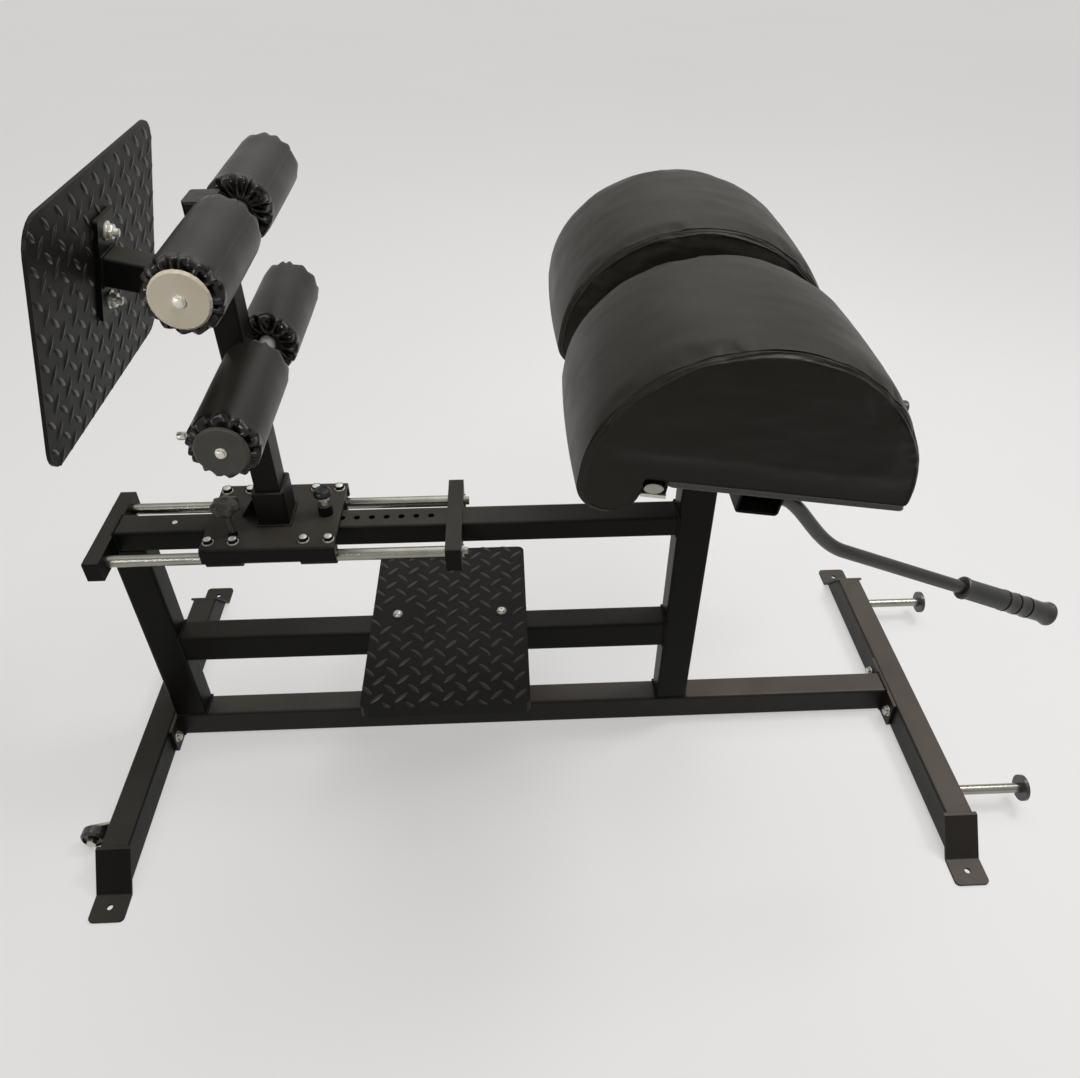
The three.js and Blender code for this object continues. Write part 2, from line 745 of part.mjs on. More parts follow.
// Handles: a bent bar from each end of the cross tube, with a ribbed grip
padFrame.updateMatrix();
const handleStart = new THREE.Vector3(crossTubeFaces[1] + seat, 0, crossTubeTop - crossTubeTall / 2)
  .applyMatrix4(padFrame.matrix);
const handleOut = new THREE.Vector3(Math.cos(handleSlope), 0, -Math.sin(handleSlope));
const tubeOut = new THREE.Vector3(Math.cos(padTilt), 0, -Math.sin(padTilt));
const ribShares = [0.47, 0.6, 0.72];
const flareShare = 0.94;
function handleBar(y) {
  const start = handleStart.clone().setY(y);
  const bend = start.clone().add(new THREE.Vector3(handleBendRun, 0, -handleBendDrop));
  const end = bend.clone().addScaledVector(handleOut, handleStraight + gripLong - gripEndWall - seat);
  const path = new THREE.CurvePath();
  path.add(new THREE.CubicBezierCurve3(
    start, start.clone().addScaledVector(tubeOut, handleStartPull),
    bend.clone().addScaledVector(handleOut, -handleEndPull), bend,
  ));
  path.add(new THREE.LineCurve3(bend, end));
  const section = new THREE.Shape(circle(handleRadius, smallSteps));
  const along = { extrudePath: path, steps: handleSteps, bevelEnabled: false };
  return new THREE.ExtrudeGeometry(section, along);
}
function gripOutline() {
  const [bore, rib, depth] = [handleRadius + seat, gripRadius + gripRib, gripLong - gripEndWall];
  const ribs = ribShares.map((share) => share * gripLong).flatMap((from) => [
    [gripRadius, from], [rib, from], [rib, from + gripRibWide], [gripRadius, from + gripRibWide],
  ]);
  return [
    [bore, 0], [rib, 0], [rib, gripRibWide], [gripRadius, gripRibWide],
    ...ribs,
    [gripRadius, gripLong * flareShare], [gripRadius + gripFlare, gripLong],
    [0, gripLong], [0, depth], [bore, depth],
  ];
}
for (const [name, side] of sides) {
  add(`handle_${name}`, welded(handleBar(side * handleY)), blackPaint);
  const grip = add(`handle_grip_${name}`, turned(gripOutline(), gripSteps), blackRubber);
  grip.quaternion.setFromUnitVectors(new THREE.Vector3(0, 1, 0), handleOut);
  grip.position.copy(handleStart).setY(side * handleY)
    .add(new THREE.Vector3(handleBendRun, 0, -handleBendDrop))
    .addScaledVector(handleOut, handleStraight);
}

// Foot carriage: a folded plate with the post's socket, a gusset and the clamp's nut welded on
const blockBolts = [-1, 1].flatMap((end) => [-1, 1].flatMap((along) => sides.map(([, side]) => [
  carriageX + (end * blockSpacing) / 2 + (along * blockBoltSpacing) / 2, (side * rodSpacing) / 2,
])));
const socketHalf = [postLong / 2 + seat + socketWall, postWide / 2 + seat + socketWall];
function carriagePlate() {
  const half = carriageWide / 2;
  const inner = half - carriagePlateThick;
  const lipBottom = carriageTop - carriageLip;
  const innerFold = carriageFold - carriagePlateThick;
  const section = filleted([
    [-half, lipBottom], [-inner, lipBottom], [-inner, plateUnderside], [inner, plateUnderside],
    [inner, lipBottom], [half, lipBottom], [half, carriageTop], [-half, carriageTop],
  ], [0, 0, innerFold, innerFold, 0, 0, carriageFold, carriageFold]);
  const root = carriageTop - carriagePlateThick / 2;
  const gussetStart = postX - socketHalf[0];
  const gusset = [
    [gussetStart - gussetRun, root], [gussetStart + socketWall / 2, root],
    [gussetStart + socketWall / 2, carriageTop + gussetTall], [gussetStart, carriageTop + gussetTall],
  ];
  const body = join(
    prism('x', section, carriageX - carriageLong / 2, carriageX + carriageLong / 2),
    tube(
      'z', postX - socketHalf[0], postX + socketHalf[0], -socketHalf[1], socketHalf[1],
      root, carriageTop + socketTall, socketWall, socketWall + seat,
    ),
    prism('y', gusset, -gussetThick / 2, gussetThick / 2),
    hexagon('z', clampNutRadius, root, carriageTop + clampNutTall, clampX, -clampY),
  );
  const through = [plateUnderside - overrun, carriageTop + clampNutTall + overrun];
  return cut(
    body,
    ...blockBolts.map(([x, y]) => bar('z', blockBoltRadius + boltGap, ...through, x, y, smallSteps)),
    bar('z', pinRadius + boltGap, plateUnderside - overrun, carriageTop + overrun, pinX, 0, smallSteps),
    bar('z', clampStemRadius + boltGap, ...through, clampX, -clampY, smallSteps),
  );
}
add('carriage_plate', carriagePlate(), blackPaint);

// Bearing blocks round the guide rods, each with its two bolts
const blockTop = plateUnderside - seat;
function bearingBlock(x, y) {
  const half = blockWide / 2;
  const under = Array.from({ length: smallSteps + 1 }, (_, i) => {
    const angle = Math.PI + (Math.PI * i) / smallSteps;
    return [y + half * Math.cos(angle), rodZ + half * Math.sin(angle)];
  });
  const outline = [...under, [y + half, blockTop], [y - half, blockTop]];
  const bore = circle(rodRadius + runningGap, roundSteps, y, rodZ);
  const body = prism('x', outline, x - blockLong / 2, x + blockLong / 2, [bore]);
  const root = (blockTop + rodZ + rodRadius) / 2;
  const bolts = [-1, 1].flatMap((along) => {
    const boltX = x + (along * blockBoltSpacing) / 2;
    return [
      bar('z', blockBoltRadius, root, carriageTop + seat, boltX, y, smallSteps),
      hexagon('z', blockBoltHead, carriageTop + seat, carriageTop + seat + blockBoltHeadTall, boltX, y),
    ];
  });
  return join(body, ...bolts);
}
for (const [end, along] of [['rear', -1], ['front', 1]]) {
  for (const [name, side] of sides) {
    const x = carriageX + (along * blockSpacing) / 2;
    add(`bearing_block_${end}_${name}`, bearingBlock(x, (side * rodSpacing) / 2), blackPaint);
  }
}

// Post with its cap and side pin
const postFaces = [postX - postLong / 2, postX + postLong / 2];
const postHalfWide = postWide / 2;
add('roller_post', tube(
  'z', ...postFaces, -postHalfWide, postHalfWide, carriageTop + seat, postTop, tubeWall, postCorner,
), blackPaint);
function postCap() {
  const plugInset = tubeWall + seat;
  const [plugHalf, rimBottom] = [postHalfWide - plugInset, postTop + seat];
  const rim = rectangle(...postFaces, -postHalfWide, postHalfWide);
  const plug = rectangle(postFaces[0] + plugInset, postFaces[1] - plugInset, -plugHalf, plugHalf);
  return join(
    prism('z', filleted(rim, postCorner), rimBottom, rimBottom + postCapTall),
    prism('z', filleted(plug, postCorner - tubeWall), postTop - postCapPlug, rimBottom + postCapTall / 2),
  );
}
add('post_cap', postCap(), blackPlastic);
const postPinEnd = postFaces[0] - postPinReach;
const postPinBarrelEnd = postFaces[0] - seat - postPinBarrelLong;
const postPinStem = [postPinEnd + postPinTipLong / 2, postPinBarrelEnd + seat];
add('post_pin', join(
  bar('x', postPinBarrel, postPinBarrelEnd, postFaces[0] - seat, 0, postPinZ, smallSteps),
  bar('x', postPinRadius, ...postPinStem, 0, postPinZ, smallSteps),
  bar('x', postPinTip, postPinEnd, postPinEnd + postPinTipLong, 0, postPinZ, smallSteps),
), zinc);

// Arm from the post to the foot plate, and the plate's two bolts
const plateFace = plateThick / 2;
const armFlangeStart = plateFace + seat;
const armFlangeEnd = armFlangeStart + armFlangeThick;
const plateBoltRises = [armRise + plateBoltSpacing / 2, armRise - plateBoltSpacing / 2];
const plateBoltHoles = plateBoltRises.map((rise) => (
  circle(plateBoltRadius + boltGap, smallSteps, 0, rise)
));
function plateArm() {
  const [low, high] = [armRise - armTall / 2, armRise + armTall / 2];
  const [across, along] = [armFlangeWide / 2, armFlangeLong / 2];
  const flange = filleted(rectangle(-across, across, armRise - along, armRise + along), tubeCorner);
  const beyond = postX - plateX + postLong;
  const arm = join(
    prism('x', flange, armFlangeStart, armFlangeEnd, plateBoltHoles),
    tube('x', -postHalfWide, postHalfWide, low, high, armFlangeEnd - armFlangeThick / 2, beyond),
  );
  const fromPost = rectangle(postFaces[0] - seat, beyond + postX, -postWide, postWide);
  const post = prism('z', fromPost, 0, 2 * plateZ);
  return cut(placed(arm, plateFrame), post);
}
add('plate_arm', plateArm(), blackPaint);
add('foot_plate', prism('x', filleted(
  rectangle(-plateWide / 2, plateWide / 2, -plateLong / 2, plateLong / 2), plateCorner, cornerSteps,
), -plateFace, plateFace, plateBoltHoles), treadPaint, plateFrame);
for (const [i, name] of ['upper', 'lower'].entries()) {
  const rise = plateBoltRises[i];
  const headStart = armFlangeEnd + seat;
  const nutEnd = -plateFace - seat;
  const shank = [nutEnd - plateNutTall / 2, headStart + plateBoltHeadTall / 2];
  add(`plate_bolt_${name}`, join(
    bar('x', plateBoltRadius, ...shank, 0, rise, smallSteps),
    hexagon('x', plateBoltHead, headStart, headStart + plateBoltHeadTall, 0, rise),
    hexagon('x', plateBoltHead, nutEnd - plateNutTall, nutEnd, 0, rise),
  ), zinc, plateFrame);
}

// Axles across the post, each with a bolt at both ends that keeps the roller and its disc on
const discStart = rollerOuter + seat;
const axleHeadStart = discStart + discThick + seat;
const axleEnd = axleHeadStart + axleBoltHeadTall;
const axleHalf = [
  [axleRadius, rollerOuter], [axleBoltRadius, rollerOuter], [axleBoltRadius, axleHeadStart],
  [axleBoltHead, axleHeadStart], [axleBoltHead, axleEnd], [0, axleEnd],
];
const axleOutline = [...[...axleHalf].reverse().map(([r, y]) => [r, -y]), ...axleHalf];

// Ankle rollers: a foam sleeve in a cover that is gathered over both ends
const gatherShares = [[0, 0, 0], [0.1, 0.42, 0.7], [0.45, 0.86, 1], [1, 1, 0]]; // along, out, pleat depth
function rollerCover() {
  const bore = axleRadius + runningGap;
  const swell = rollerRadius - rollerEndRadius;
  const gather = gatherShares.map(([along, out, pleat]) => [
    rollerEndRadius + swell * out, rollerGather * along, pleat * rollerPleatDepth,
  ]);
  const first = gather.map(([radius, along, pleat]) => [radius, rollerInner + along, pleat]);
  const last = gather.map(([radius, along, pleat]) => [radius, rollerOuter - along, pleat]).reverse();
  const rings = [[bore, rollerInner, 0], ...first, ...last, [bore, rollerOuter, 0]];
  const turns = Array.from({ length: rollerSteps }, (_, i) => (2 * Math.PI * i) / rollerSteps);
  const points = rings.flatMap(([radius, y, pleat]) => turns.flatMap((angle) => {
    const r = radius - (pleat * (1 - Math.cos(rollerPleats * angle))) / 2;
    return [r * Math.sin(angle), y, r * Math.cos(angle)];
  }));
  const corners = [];
  for (let ring = 0; ring < rings.length; ring += 1) {
    const next = (ring + 1) % rings.length;
    for (let i = 0; i < rollerSteps; i += 1) {
      const j = (i + 1) % rollerSteps;
      const [a, b] = [ring * rollerSteps + i, ring * rollerSteps + j];
      const [c, d] = [next * rollerSteps + i, next * rollerSteps + j];
      corners.push(a, b, c, b, d, c);
    }
  }
  const geometry = new THREE.BufferGeometry();
  geometry.setAttribute('position', new THREE.Float32BufferAttribute(points, 3));
  geometry.setIndex(corners);
  return geometry;
}
const levels = [['upper', rollerUpperZ, creamPlastic], ['lower', rollerLowerZ, greyPlastic]];
for (const [level, z, discFinish] of levels) {
  add(`axle_${level}`, turned(axleOutline), zinc).position.set(axleX, 0, z);
  for (const [name, side] of sides) {
    add(`roller_${level}_${name}`, onSide(side, rollerCover()), blackVinyl).position.set(axleX, 0, z);
    const bore = axleBoltRadius + runningGap;
    const disc = turned([
      [bore, discStart], [discRadius, discStart], [discRadius, discStart + discThick / 2],
      [discRadius - discThick / 2, discStart + discThick], [bore, discStart + discThick],
    ]);
    add(`roller_disc_${level}_${name}`, onSide(side, disc), discFinish).position.set(axleX, 0, z);
  }
}

// Index pin, held up at rest, in its barrel on the carriage plate
const barrelBottom = carriageTop + seat;
const barrelTop = barrelBottom + pinBarrelTall;
add('pin_barrel', prism(
  'z', circle(pinBarrelRadius, roundSteps, pinX, 0), barrelBottom, barrelTop,
  [circle(pinRadius + runningGap, roundSteps, pinX, 0)],
), blackPaint);
const collarBottom = barrelTop + seat + pinLift;
const knobBottom = collarBottom + pinCollarTall;
const knobTop = knobBottom + pinKnobTall;
function indexPin() {
  const tip = railTop + pinHeldClear;
  const dishFloor = knobTop - pinDishDepth;
  const rim = [[pinKnobRadius, knobBottom], [pinKnobRadius, knobTop], [pinDishRadius, knobTop]];
  return turned([
    [0, tip], [pinRadius - pinTipBevel, tip], [pinRadius, tip + pinTipBevel],
    [pinRadius, collarBottom], [pinCollarRadius, collarBottom], [pinCollarRadius, knobBottom],
    ...filleted(rim, [pinKnobEdge / 2, pinKnobEdge, pinKnobEdge / 2], rimSteps),
    [pinDishRadius, dishFloor], [pinButtonRadius, dishFloor],
    [pinButtonRadius, dishFloor + pinButtonTall], [0, dishFloor + pinButtonTall],
  ], gripSteps);
}
const indexPinMesh = add('index_pin', indexPin(), zinc);
indexPinMesh.rotation.x = Math.PI / 2;
indexPinMesh.position.x = pinX;

// Clamp knob on its screw
const clampKnobBottom = carriageTop + clampRise;
const clampOutline = Array.from({ length: clampSteps }, (_, i) => {
  const angle = (2 * Math.PI * i) / clampSteps;
  const radius = clampKnobRadius - (clampLobeDepth * (1 - Math.cos(clampLobes * angle))) / 2;
  return [clampX + radius * Math.cos(angle), radius * Math.sin(angle) - clampY];
});
add('clamp_knob', join(
  bar('z', clampStemRadius, plateUnderside, clampKnobBottom + clampKnobTall / 2, clampX, -clampY),
  bar('z', clampCollarRadius, clampKnobBottom - clampCollarTall, clampKnobBottom, clampX, -clampY),
  prism('z', clampOutline, clampKnobBottom, clampKnobBottom + clampKnobTall),
), blackPlastic);

export default machine;
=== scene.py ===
"""Glute ham developer: materials, soft pieces, treads and fasteners round the CAD frame."""

import json
import math
import random

import bmesh
import bpy
import numpy as np
from mathutils import Matrix, Vector, geometry, kdtree, noise


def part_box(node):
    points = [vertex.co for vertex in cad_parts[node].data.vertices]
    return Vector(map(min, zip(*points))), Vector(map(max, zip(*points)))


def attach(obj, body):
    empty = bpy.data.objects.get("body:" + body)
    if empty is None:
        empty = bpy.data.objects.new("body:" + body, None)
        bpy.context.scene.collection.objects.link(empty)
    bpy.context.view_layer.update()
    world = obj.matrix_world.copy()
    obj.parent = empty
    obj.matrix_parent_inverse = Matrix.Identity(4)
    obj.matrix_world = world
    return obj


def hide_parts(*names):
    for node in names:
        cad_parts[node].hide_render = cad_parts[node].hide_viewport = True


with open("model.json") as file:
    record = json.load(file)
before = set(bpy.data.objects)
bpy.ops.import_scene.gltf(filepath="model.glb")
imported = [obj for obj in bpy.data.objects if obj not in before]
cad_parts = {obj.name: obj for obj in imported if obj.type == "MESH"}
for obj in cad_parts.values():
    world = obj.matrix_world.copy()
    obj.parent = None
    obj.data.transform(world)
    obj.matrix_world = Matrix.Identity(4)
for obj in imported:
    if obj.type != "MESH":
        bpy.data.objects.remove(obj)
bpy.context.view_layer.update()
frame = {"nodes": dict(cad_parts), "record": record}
nodes = frame["nodes"]

# The CAD source counts X from the foot end crossbar's middle, in millimetres
MM = 0.001
low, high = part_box("foot_end_crossbar")
START = (low[0] + high[0]) / 2
SIDES = (("right", -1), ("left", 1))


def at(x, y, z):
    """A point given in the CAD source's millimetres."""
    return Vector((x * MM + START, y * MM, z * MM))


# Materials

def shade(grey, warm=0.0):
    """A linear colour from a display grey between 0 and 255; warm is how far red stands over blue."""
    def linear(value):
        value = max(value, 0) / 255
        return value / 12.92 if value <= 0.04045 else ((value + 0.055) / 1.055) ** 2.4
    return (linear(grey + warm / 2), linear(grey), linear(grey - warm / 2), 1.0)


NOISE_RANGE = (0.3, 0.7)  # between these most of a noise texture's values lie
DUST_AND_LIGHT_RANGE, DUST_AND_LIGHT_MOST = (0.55, 0.98), 0.7  # how far a face looks up where the dust and the painted light on tops start and are full


class Finish:
    """A node material round one Principled shader, with helpers for noise, colour and bump."""

    def __init__(self, name, rough, metallic=0.0, specular=0.5):
        self.material = bpy.data.materials.new(name)
        self.material.use_nodes = True
        tree = self.material.node_tree
        self.nodes, self.links = tree.nodes, tree.links
        self.shader = self.nodes["Principled BSDF"]
        for key, number in (("Roughness", rough), ("Metallic", metallic), ("Specular IOR Level", specular)):
            self.shader.inputs[key].default_value = number
        self.place = self.nodes.new("ShaderNodeTexCoord").outputs["Object"]
        self.normal = None

    def noise(self, scale, detail=3.0, rough=0.5):
        node = self.nodes.new("ShaderNodeTexNoise")
        for key, number in (("Scale", scale), ("Detail", detail), ("Roughness", rough)):
            node.inputs[key].default_value = number
        self.links.new(self.place, node.inputs["Vector"])
        return node.outputs["Fac"]

    def cells(self, scale):
        """How far the nearest edge between cells is."""
        node = self.nodes.new("ShaderNodeTexVoronoi")
        node.feature = "DISTANCE_TO_EDGE"
        node.inputs["Scale"].default_value = scale
        self.links.new(self.place, node.inputs["Vector"])
        return node.outputs["Distance"]

    def spread(self, value, low, high, to_low, to_high):
        """A value's range carried over to another."""
        node = self.nodes.new("ShaderNodeMapRange")
        for key, number in zip(("From Min", "From Max", "To Min", "To Max"), (low, high, to_low, to_high)):
            node.inputs[key].default_value = number
        self.links.new(value, node.inputs["Value"])
        return node.outputs["Result"]

    def varied(self, value, to_low, to_high):
        """A noise value as a number between two."""
        return self.spread(value, *NOISE_RANGE, to_low, to_high)

    def mottled(self, value, dark, light):
        """A noise value as a colour between two."""
        node = self.nodes.new("ShaderNodeValToRGB")
        for element, position, color in zip(node.color_ramp.elements, NOISE_RANGE, (dark, light)):
            element.position, element.color = position, color
        self.links.new(value, node.inputs["Fac"])
        return node.outputs["Color"]

    def blended(self, share, first, second):
        node = self.nodes.new("ShaderNodeMix")
        node.data_type = "RGBA"
        self.links.new(share, node.inputs["Factor"])
        for key, value in ((6, first), (7, second)):  # the mix node's two colour inputs
            if isinstance(value, tuple):
                node.inputs[key].default_value = value
            else:
                self.links.new(value, node.inputs[key])
        return node.outputs[2]

    def combined(self, first, second, operation="ADD"):
        node = self.nodes.new("ShaderNodeMath")
        node.operation = operation
        for socket, value in zip(node.inputs, (first, second)):
            if isinstance(value, (int, float)):
                socket.default_value = value
            else:
                self.links.new(value, socket)
        return node.outputs["Value"]

    def color(self, value):
        self.links.new(value, self.shader.inputs["Base Color"])

    def rough(self, value):
        self.links.new(value, self.shader.inputs["Roughness"])

    def bump(self, height, strength, distance):
        node = self.nodes.new("ShaderNodeBump")
        node.inputs["Strength"].default_value = strength
        node.inputs["Distance"].default_value = distance
        self.links.new(height, node.inputs["Height"])
        if self.normal:
            self.links.new(self.normal, node.inputs["Normal"])
        self.normal = node.outputs["Normal"]
        self.links.new(self.normal, self.shader.inputs["Normal"])

    def dusted_and_lit(self, value, dust_and_light):
        """Mixes a lighter colour in on faces that look up: dust, and painted light on the tops."""
        split = self.nodes.new("ShaderNodeSeparateXYZ")
        self.links.new(self.nodes.new("ShaderNodeNewGeometry").outputs["Normal"], split.inputs["Vector"])
        # lighter on faces that look up: dust, and painted light on the tops
        up = self.spread(split.outputs["Z"], *DUST_AND_LIGHT_RANGE, 0.0, DUST_AND_LIGHT_MOST)
        patchy = self.combined(up, self.varied(self.noise(9, 5), 0.7, 1.0), "MULTIPLY")
        return self.blended(patchy, value, dust_and_light)


def tone(red, green, blue):
    """A linear colour from display values between 0 and 255."""
    return tuple(shade(value)[1] for value in (red, green, blue)) + (1.0,)


def paint(name, dark, light, rough, specular, dust_and_light):
    """Satin paint with a fine orange peel, and a lighter tone on what looks up: a little dust and painted
    light.
    """
    f = Finish(name, rough, specular=specular)
    f.color(f.dusted_and_lit(f.mottled(f.noise(11, 6, 0.65), dark, light), dust_and_light))
    f.rough(f.varied(f.noise(30, 5), rough - 0.03, rough + 0.03))
    f.bump(f.noise(850, 2), 0.1, 0.0004)
    return f.material


def metal(name, dark, light, rough, metallic=1.0, grain=0.02):
    """Plated or bare steel, evenly polished where it has no grain."""
    f = Finish(name, rough, metallic=metallic)
    f.color(f.mottled(f.noise(30, 5), dark, light))
    if grain:
        f.rough(f.varied(f.noise(60, 4), rough * 0.85, rough * 1.25))
        f.bump(f.noise(700, 3), grain, 0.0002)
    return f.material


def vinyl(name, dark, light, rough, specular, gathered=None):
    """Coated upholstery cloth: fine pebbled grain and slow changes of tone. A gathered one turns
    darker (painted shade in its folds) and glossier toward both ends of a roller, whose axle is the Y axis."""
    f = Finish(name, rough, specular=specular)
    base = f.mottled(f.noise(7, 5, 0.6), dark, light)
    slow = f.varied(f.noise(18, 5), rough - 0.04, rough + 0.05)
    if gathered:
        middle, start, full, fold_shade, gloss = gathered
        split = f.nodes.new("ShaderNodeSeparateXYZ")
        f.links.new(f.place, split.inputs["Vector"])
        off = f.combined(split.outputs["Y"], 0, "ABSOLUTE")
        off = f.combined(f.combined(off, middle, "SUBTRACT"), 0, "ABSOLUTE")
        share = f.spread(off, start, full, 0.0, 1.0)
        # darker toward the ends: painted shade in the gathers
        base = f.blended(share, base, fold_shade)
        slow = f.combined(slow, f.combined(share, rough - gloss, "MULTIPLY"), "SUBTRACT")
    f.color(base)
    f.rough(slow)
    f.bump(f.noise(30, 3), 0.06, 0.001)
    grain = f.spread(f.cells(620), 0.0, 0.25, 0.0, 1.0)
    f.bump(f.combined(grain, f.noise(1400, 2)), 0.25, 0.0002)
    return f.material


def plastic(name, dark, light, rough, grain=400, specular=0.4):
    """Moulded plastic or rubber, or a thick smooth coat, with a fine grain."""
    f = Finish(name, rough, specular=specular)
    f.color(f.mottled(f.noise(22, 5), dark, light))
    f.rough(f.varied(f.noise(70, 4), rough - 0.08, rough + 0.1))
    f.bump(f.noise(grain, 3), 0.12, 0.0003)
    return f.material


LOOKS = {
    "black_paint": paint("satin_black_paint", tone(19, 18, 16), tone(24, 22, 19), 0.42, 0.1, tone(82, 78, 71)),
    "tread_paint": paint("tread_paint", tone(21, 20, 17), tone(28, 26, 23), 0.48, 0.12, tone(42, 40, 35)),
    "chrome": metal("chrome_plate", tone(146, 144, 135), tone(160, 158, 149), 0.26, grain=0),
    "zinc": metal("zinc_plate", tone(176, 172, 158), tone(214, 211, 198), 0.28),
    "black_vinyl": vinyl("black_vinyl", tone(36, 33, 27), tone(44, 41, 34), 0.4, 0.19),
    "black_plastic": plastic("black_plastic", tone(21, 21, 20), tone(29, 28, 26), 0.4),
    "cream_plastic": plastic("cream_plastic", tone(212, 200, 176), tone(226, 216, 194), 0.5, 250),
    "grey_plastic": plastic("grey_plastic", tone(56, 54, 48), tone(74, 71, 64), 0.42, 250),
    "black_rubber": plastic("black_rubber", tone(40, 40, 35), tone(50, 49, 44), 0.3, 900, 0.8),
    "plywood": plastic("painted_board", tone(44, 41, 36), tone(56, 53, 47), 0.45, 200),
    # the gathered ends get a slightly darker tint, painted shade in the folds, and a glossier finish
    "roller_vinyl": vinyl("roller_vinyl", tone(26, 23, 18), tone(32, 28, 22), 0.4, 0.32,
                          (0.1405, 0.086, 0.1, tone(27, 25, 21), 0.18)),
    # the lugs are a lighter tone than the plate: a painted highlight on them
    "lit_tread_lugs": paint("lit_tread_lugs", tone(33, 31, 27), tone(50, 48, 42), 0.36, 0.4, tone(54, 52, 46)),
    # lighter paint on the bevelled edges: wear and a painted highlight along them
    "worn_highlit_paint": paint("worn_highlit_paint_edges", tone(58, 55, 49), tone(92, 88, 80), 0.38, 0.3, tone(104, 100, 92)),
    # a lighter copy of the black paint: painted light on the beam and the pad end's crossbar and feet, with
    # dust on the tops
    "dusty_lit_paint": paint("dusty_lit_black_paint", tone(27, 25, 22), tone(35, 32, 29), 0.44, 0.2,
                         tone(110, 101, 93)),
    "board_trim": plastic("board_trim", tone(72, 69, 62), tone(94, 90, 82), 0.32, 500, 0.6),
    "bright_steel": metal("bright_steel", tone(224, 220, 208), tone(242, 239, 229), 0.36, 0.6),
    "dark_steel": metal("dark_steel", tone(46, 44, 40), tone(66, 63, 58), 0.36, 0.7),
    "handle_paint": plastic("handle_paint", tone(34, 33, 29), tone(42, 41, 37), 0.27, 850, 0.8),
}

# CAD pieces keep their shape; each gets its slot's material and softly broken edges
# These parts take the lighter black paint: painted light, and dust on their tops
DUST_AND_LIGHT_PARTS = ("lower_beam", "pad_end_crossbar", "pad_end_foot_right", "pad_end_foot_left")
ROUNDED = {"chrome": 0.6, "zinc": 0.7, "black_plastic": 0.7, "black_rubber": 0.8, "plywood": 1.2}
slots = {row["node"]: row["material_slot"] for row in frame["record"]["subparts"]}
for name, node in nodes.items():
    node.data.materials.clear()
    node.data.materials.append(LOOKS["dusty_lit_paint" if name in DUST_AND_LIGHT_PARTS else slots[name]])
    painted = slots[name] in ("black_paint", "tread_paint")
    if painted:
        node.data.materials.append(LOOKS["worn_highlit_paint"])
    bevel = node.modifiers.new("broken_edges", "BEVEL")
    bevel.width = ROUNDED.get(slots[name], 0.9) * MM
    bevel.segments = 2
    bevel.limit_method = "ANGLE"
    bevel.angle_limit = math.radians(35)
    bevel.use_clamp_overlap = True
    bevel.harden_normals = False
    # the bevel faces of painted parts take the lighter edge paint: wear and a painted highlight
    if painted:
        bevel.material = 1


def placed(name, data):
    """A new object in the scene."""
    made = bpy.data.objects.new(name, data)
    bpy.context.collection.objects.link(made)
    return made


def piece(name, form, look, body):
    """A new mesh object riding on a body, from points in the row frame's metres and faces."""
    points, faces = form
    mesh = bpy.data.meshes.new(name)
    mesh.from_pydata([tuple(p) for p in points], [], faces)
    mesh.validate()
    mesh.shade_smooth()
    mesh.materials.append(LOOKS[look])
    made = placed(name, mesh)
    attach(made, body)
    return made


def bands(first, rows, count):
    """Faces between rings of points that follow each other, a count of points in each."""
    faces = []
    for row in range(rows - 1):
        for k in range(count):
            a, b = first + row * count + k, first + row * count + (k + 1) % count
            faces.append((a, b, b + count, a + count))
    return faces


def caps(first, last, count):
    """The faces that close two rings, given by their first points."""
    return [tuple(first + k for k in reversed(range(count))), tuple(last + k for k in range(count))]


def smoothstep(value):
    value = min(max(value, 0.0), 1.0)
    return value * value * (3 - 2 * value)


def interpolate(table, value):
    """Columns of a table of rows (position, a, b, ...) at a position, on straight lines between rows."""
    keys = [row[0] for row in table]
    i = max(0, min(len(table) - 2, sum(k <= value for k in keys) - 1))
    share = (value - keys[i]) / (keys[i + 1] - keys[i])
    return [a + (b - a) * share for a, b in zip(table[i][1:], table[i + 1][1:])]


# Hip pads
PAD_TILT = math.radians(9)
PAD_ORIGIN = (1047, 803)
PAD_SPAN = (43, 328)
PAD_CENTRE, PAD_HALF, PAD_TALL = -51, 211, 188
NOSE_RADIUS, NOSE_DROP = 39, 20
NOSE_BACK = PAD_CENTRE - PAD_HALF + 2 * NOSE_RADIUS
PAD_EDGE = 9
PAD_CROWN = 4
DOME_STEPS, NOSE_STEPS, FLOOR_STEPS = 150, 30, 60
TOP_ROWS = 38
WELT = (12, 9.0, 2.0)  # angle round the edge, its spread, height in millimetres
TOPSTITCH = (66, 5.0, -1.3)
PUCKER_PITCH, PUCKER_DEEP, PUCKER_LONG = 17, 0.9, 14
END_GRID = 6.0  # between the points inside an end wall
SWELL_VOXEL, SWELL_FRAMES, SWELL_MOST = 7, 20, 6.0
HELD_UP_TO, HELD_FADE, FREE_FADE = 4, 30, 40  # heights above the board


def in_pads(x, y, z):
    """A point given in the pads' own tilted frame, in millimetres."""
    return at(
        PAD_ORIGIN[0] + x * math.cos(PAD_TILT) + z * math.sin(PAD_TILT), y,
        PAD_ORIGIN[1] - x * math.sin(PAD_TILT) + z * math.cos(PAD_TILT),
    )


def pad_outline(inset):
    """The pad's profile: a half dome that turns down over the front edge, flat below."""
    long, tall = PAD_HALF - inset, PAD_TALL - inset
    points = []
    for i in range(DOME_STEPS + 1):
        angle = math.pi * i / DOME_STEPS
        points.append((PAD_CENTRE + long * math.cos(angle), tall * math.sin(angle)))
    half = (NOSE_BACK - PAD_CENTRE + long) / 2
    for i in range(1, NOSE_STEPS + 1):
        angle = math.pi + math.pi * i / NOSE_STEPS
        drop = NOSE_DROP - (NOSE_RADIUS - inset) * math.sin(angle)
        points.append((NOSE_BACK - half + half * math.cos(angle), -drop))
    start, end = NOSE_BACK, PAD_CENTRE + long
    for i in range(FLOOR_STEPS):
        points.append((start + (end - start) * i / FLOOR_STEPS, 0.0))
    return points


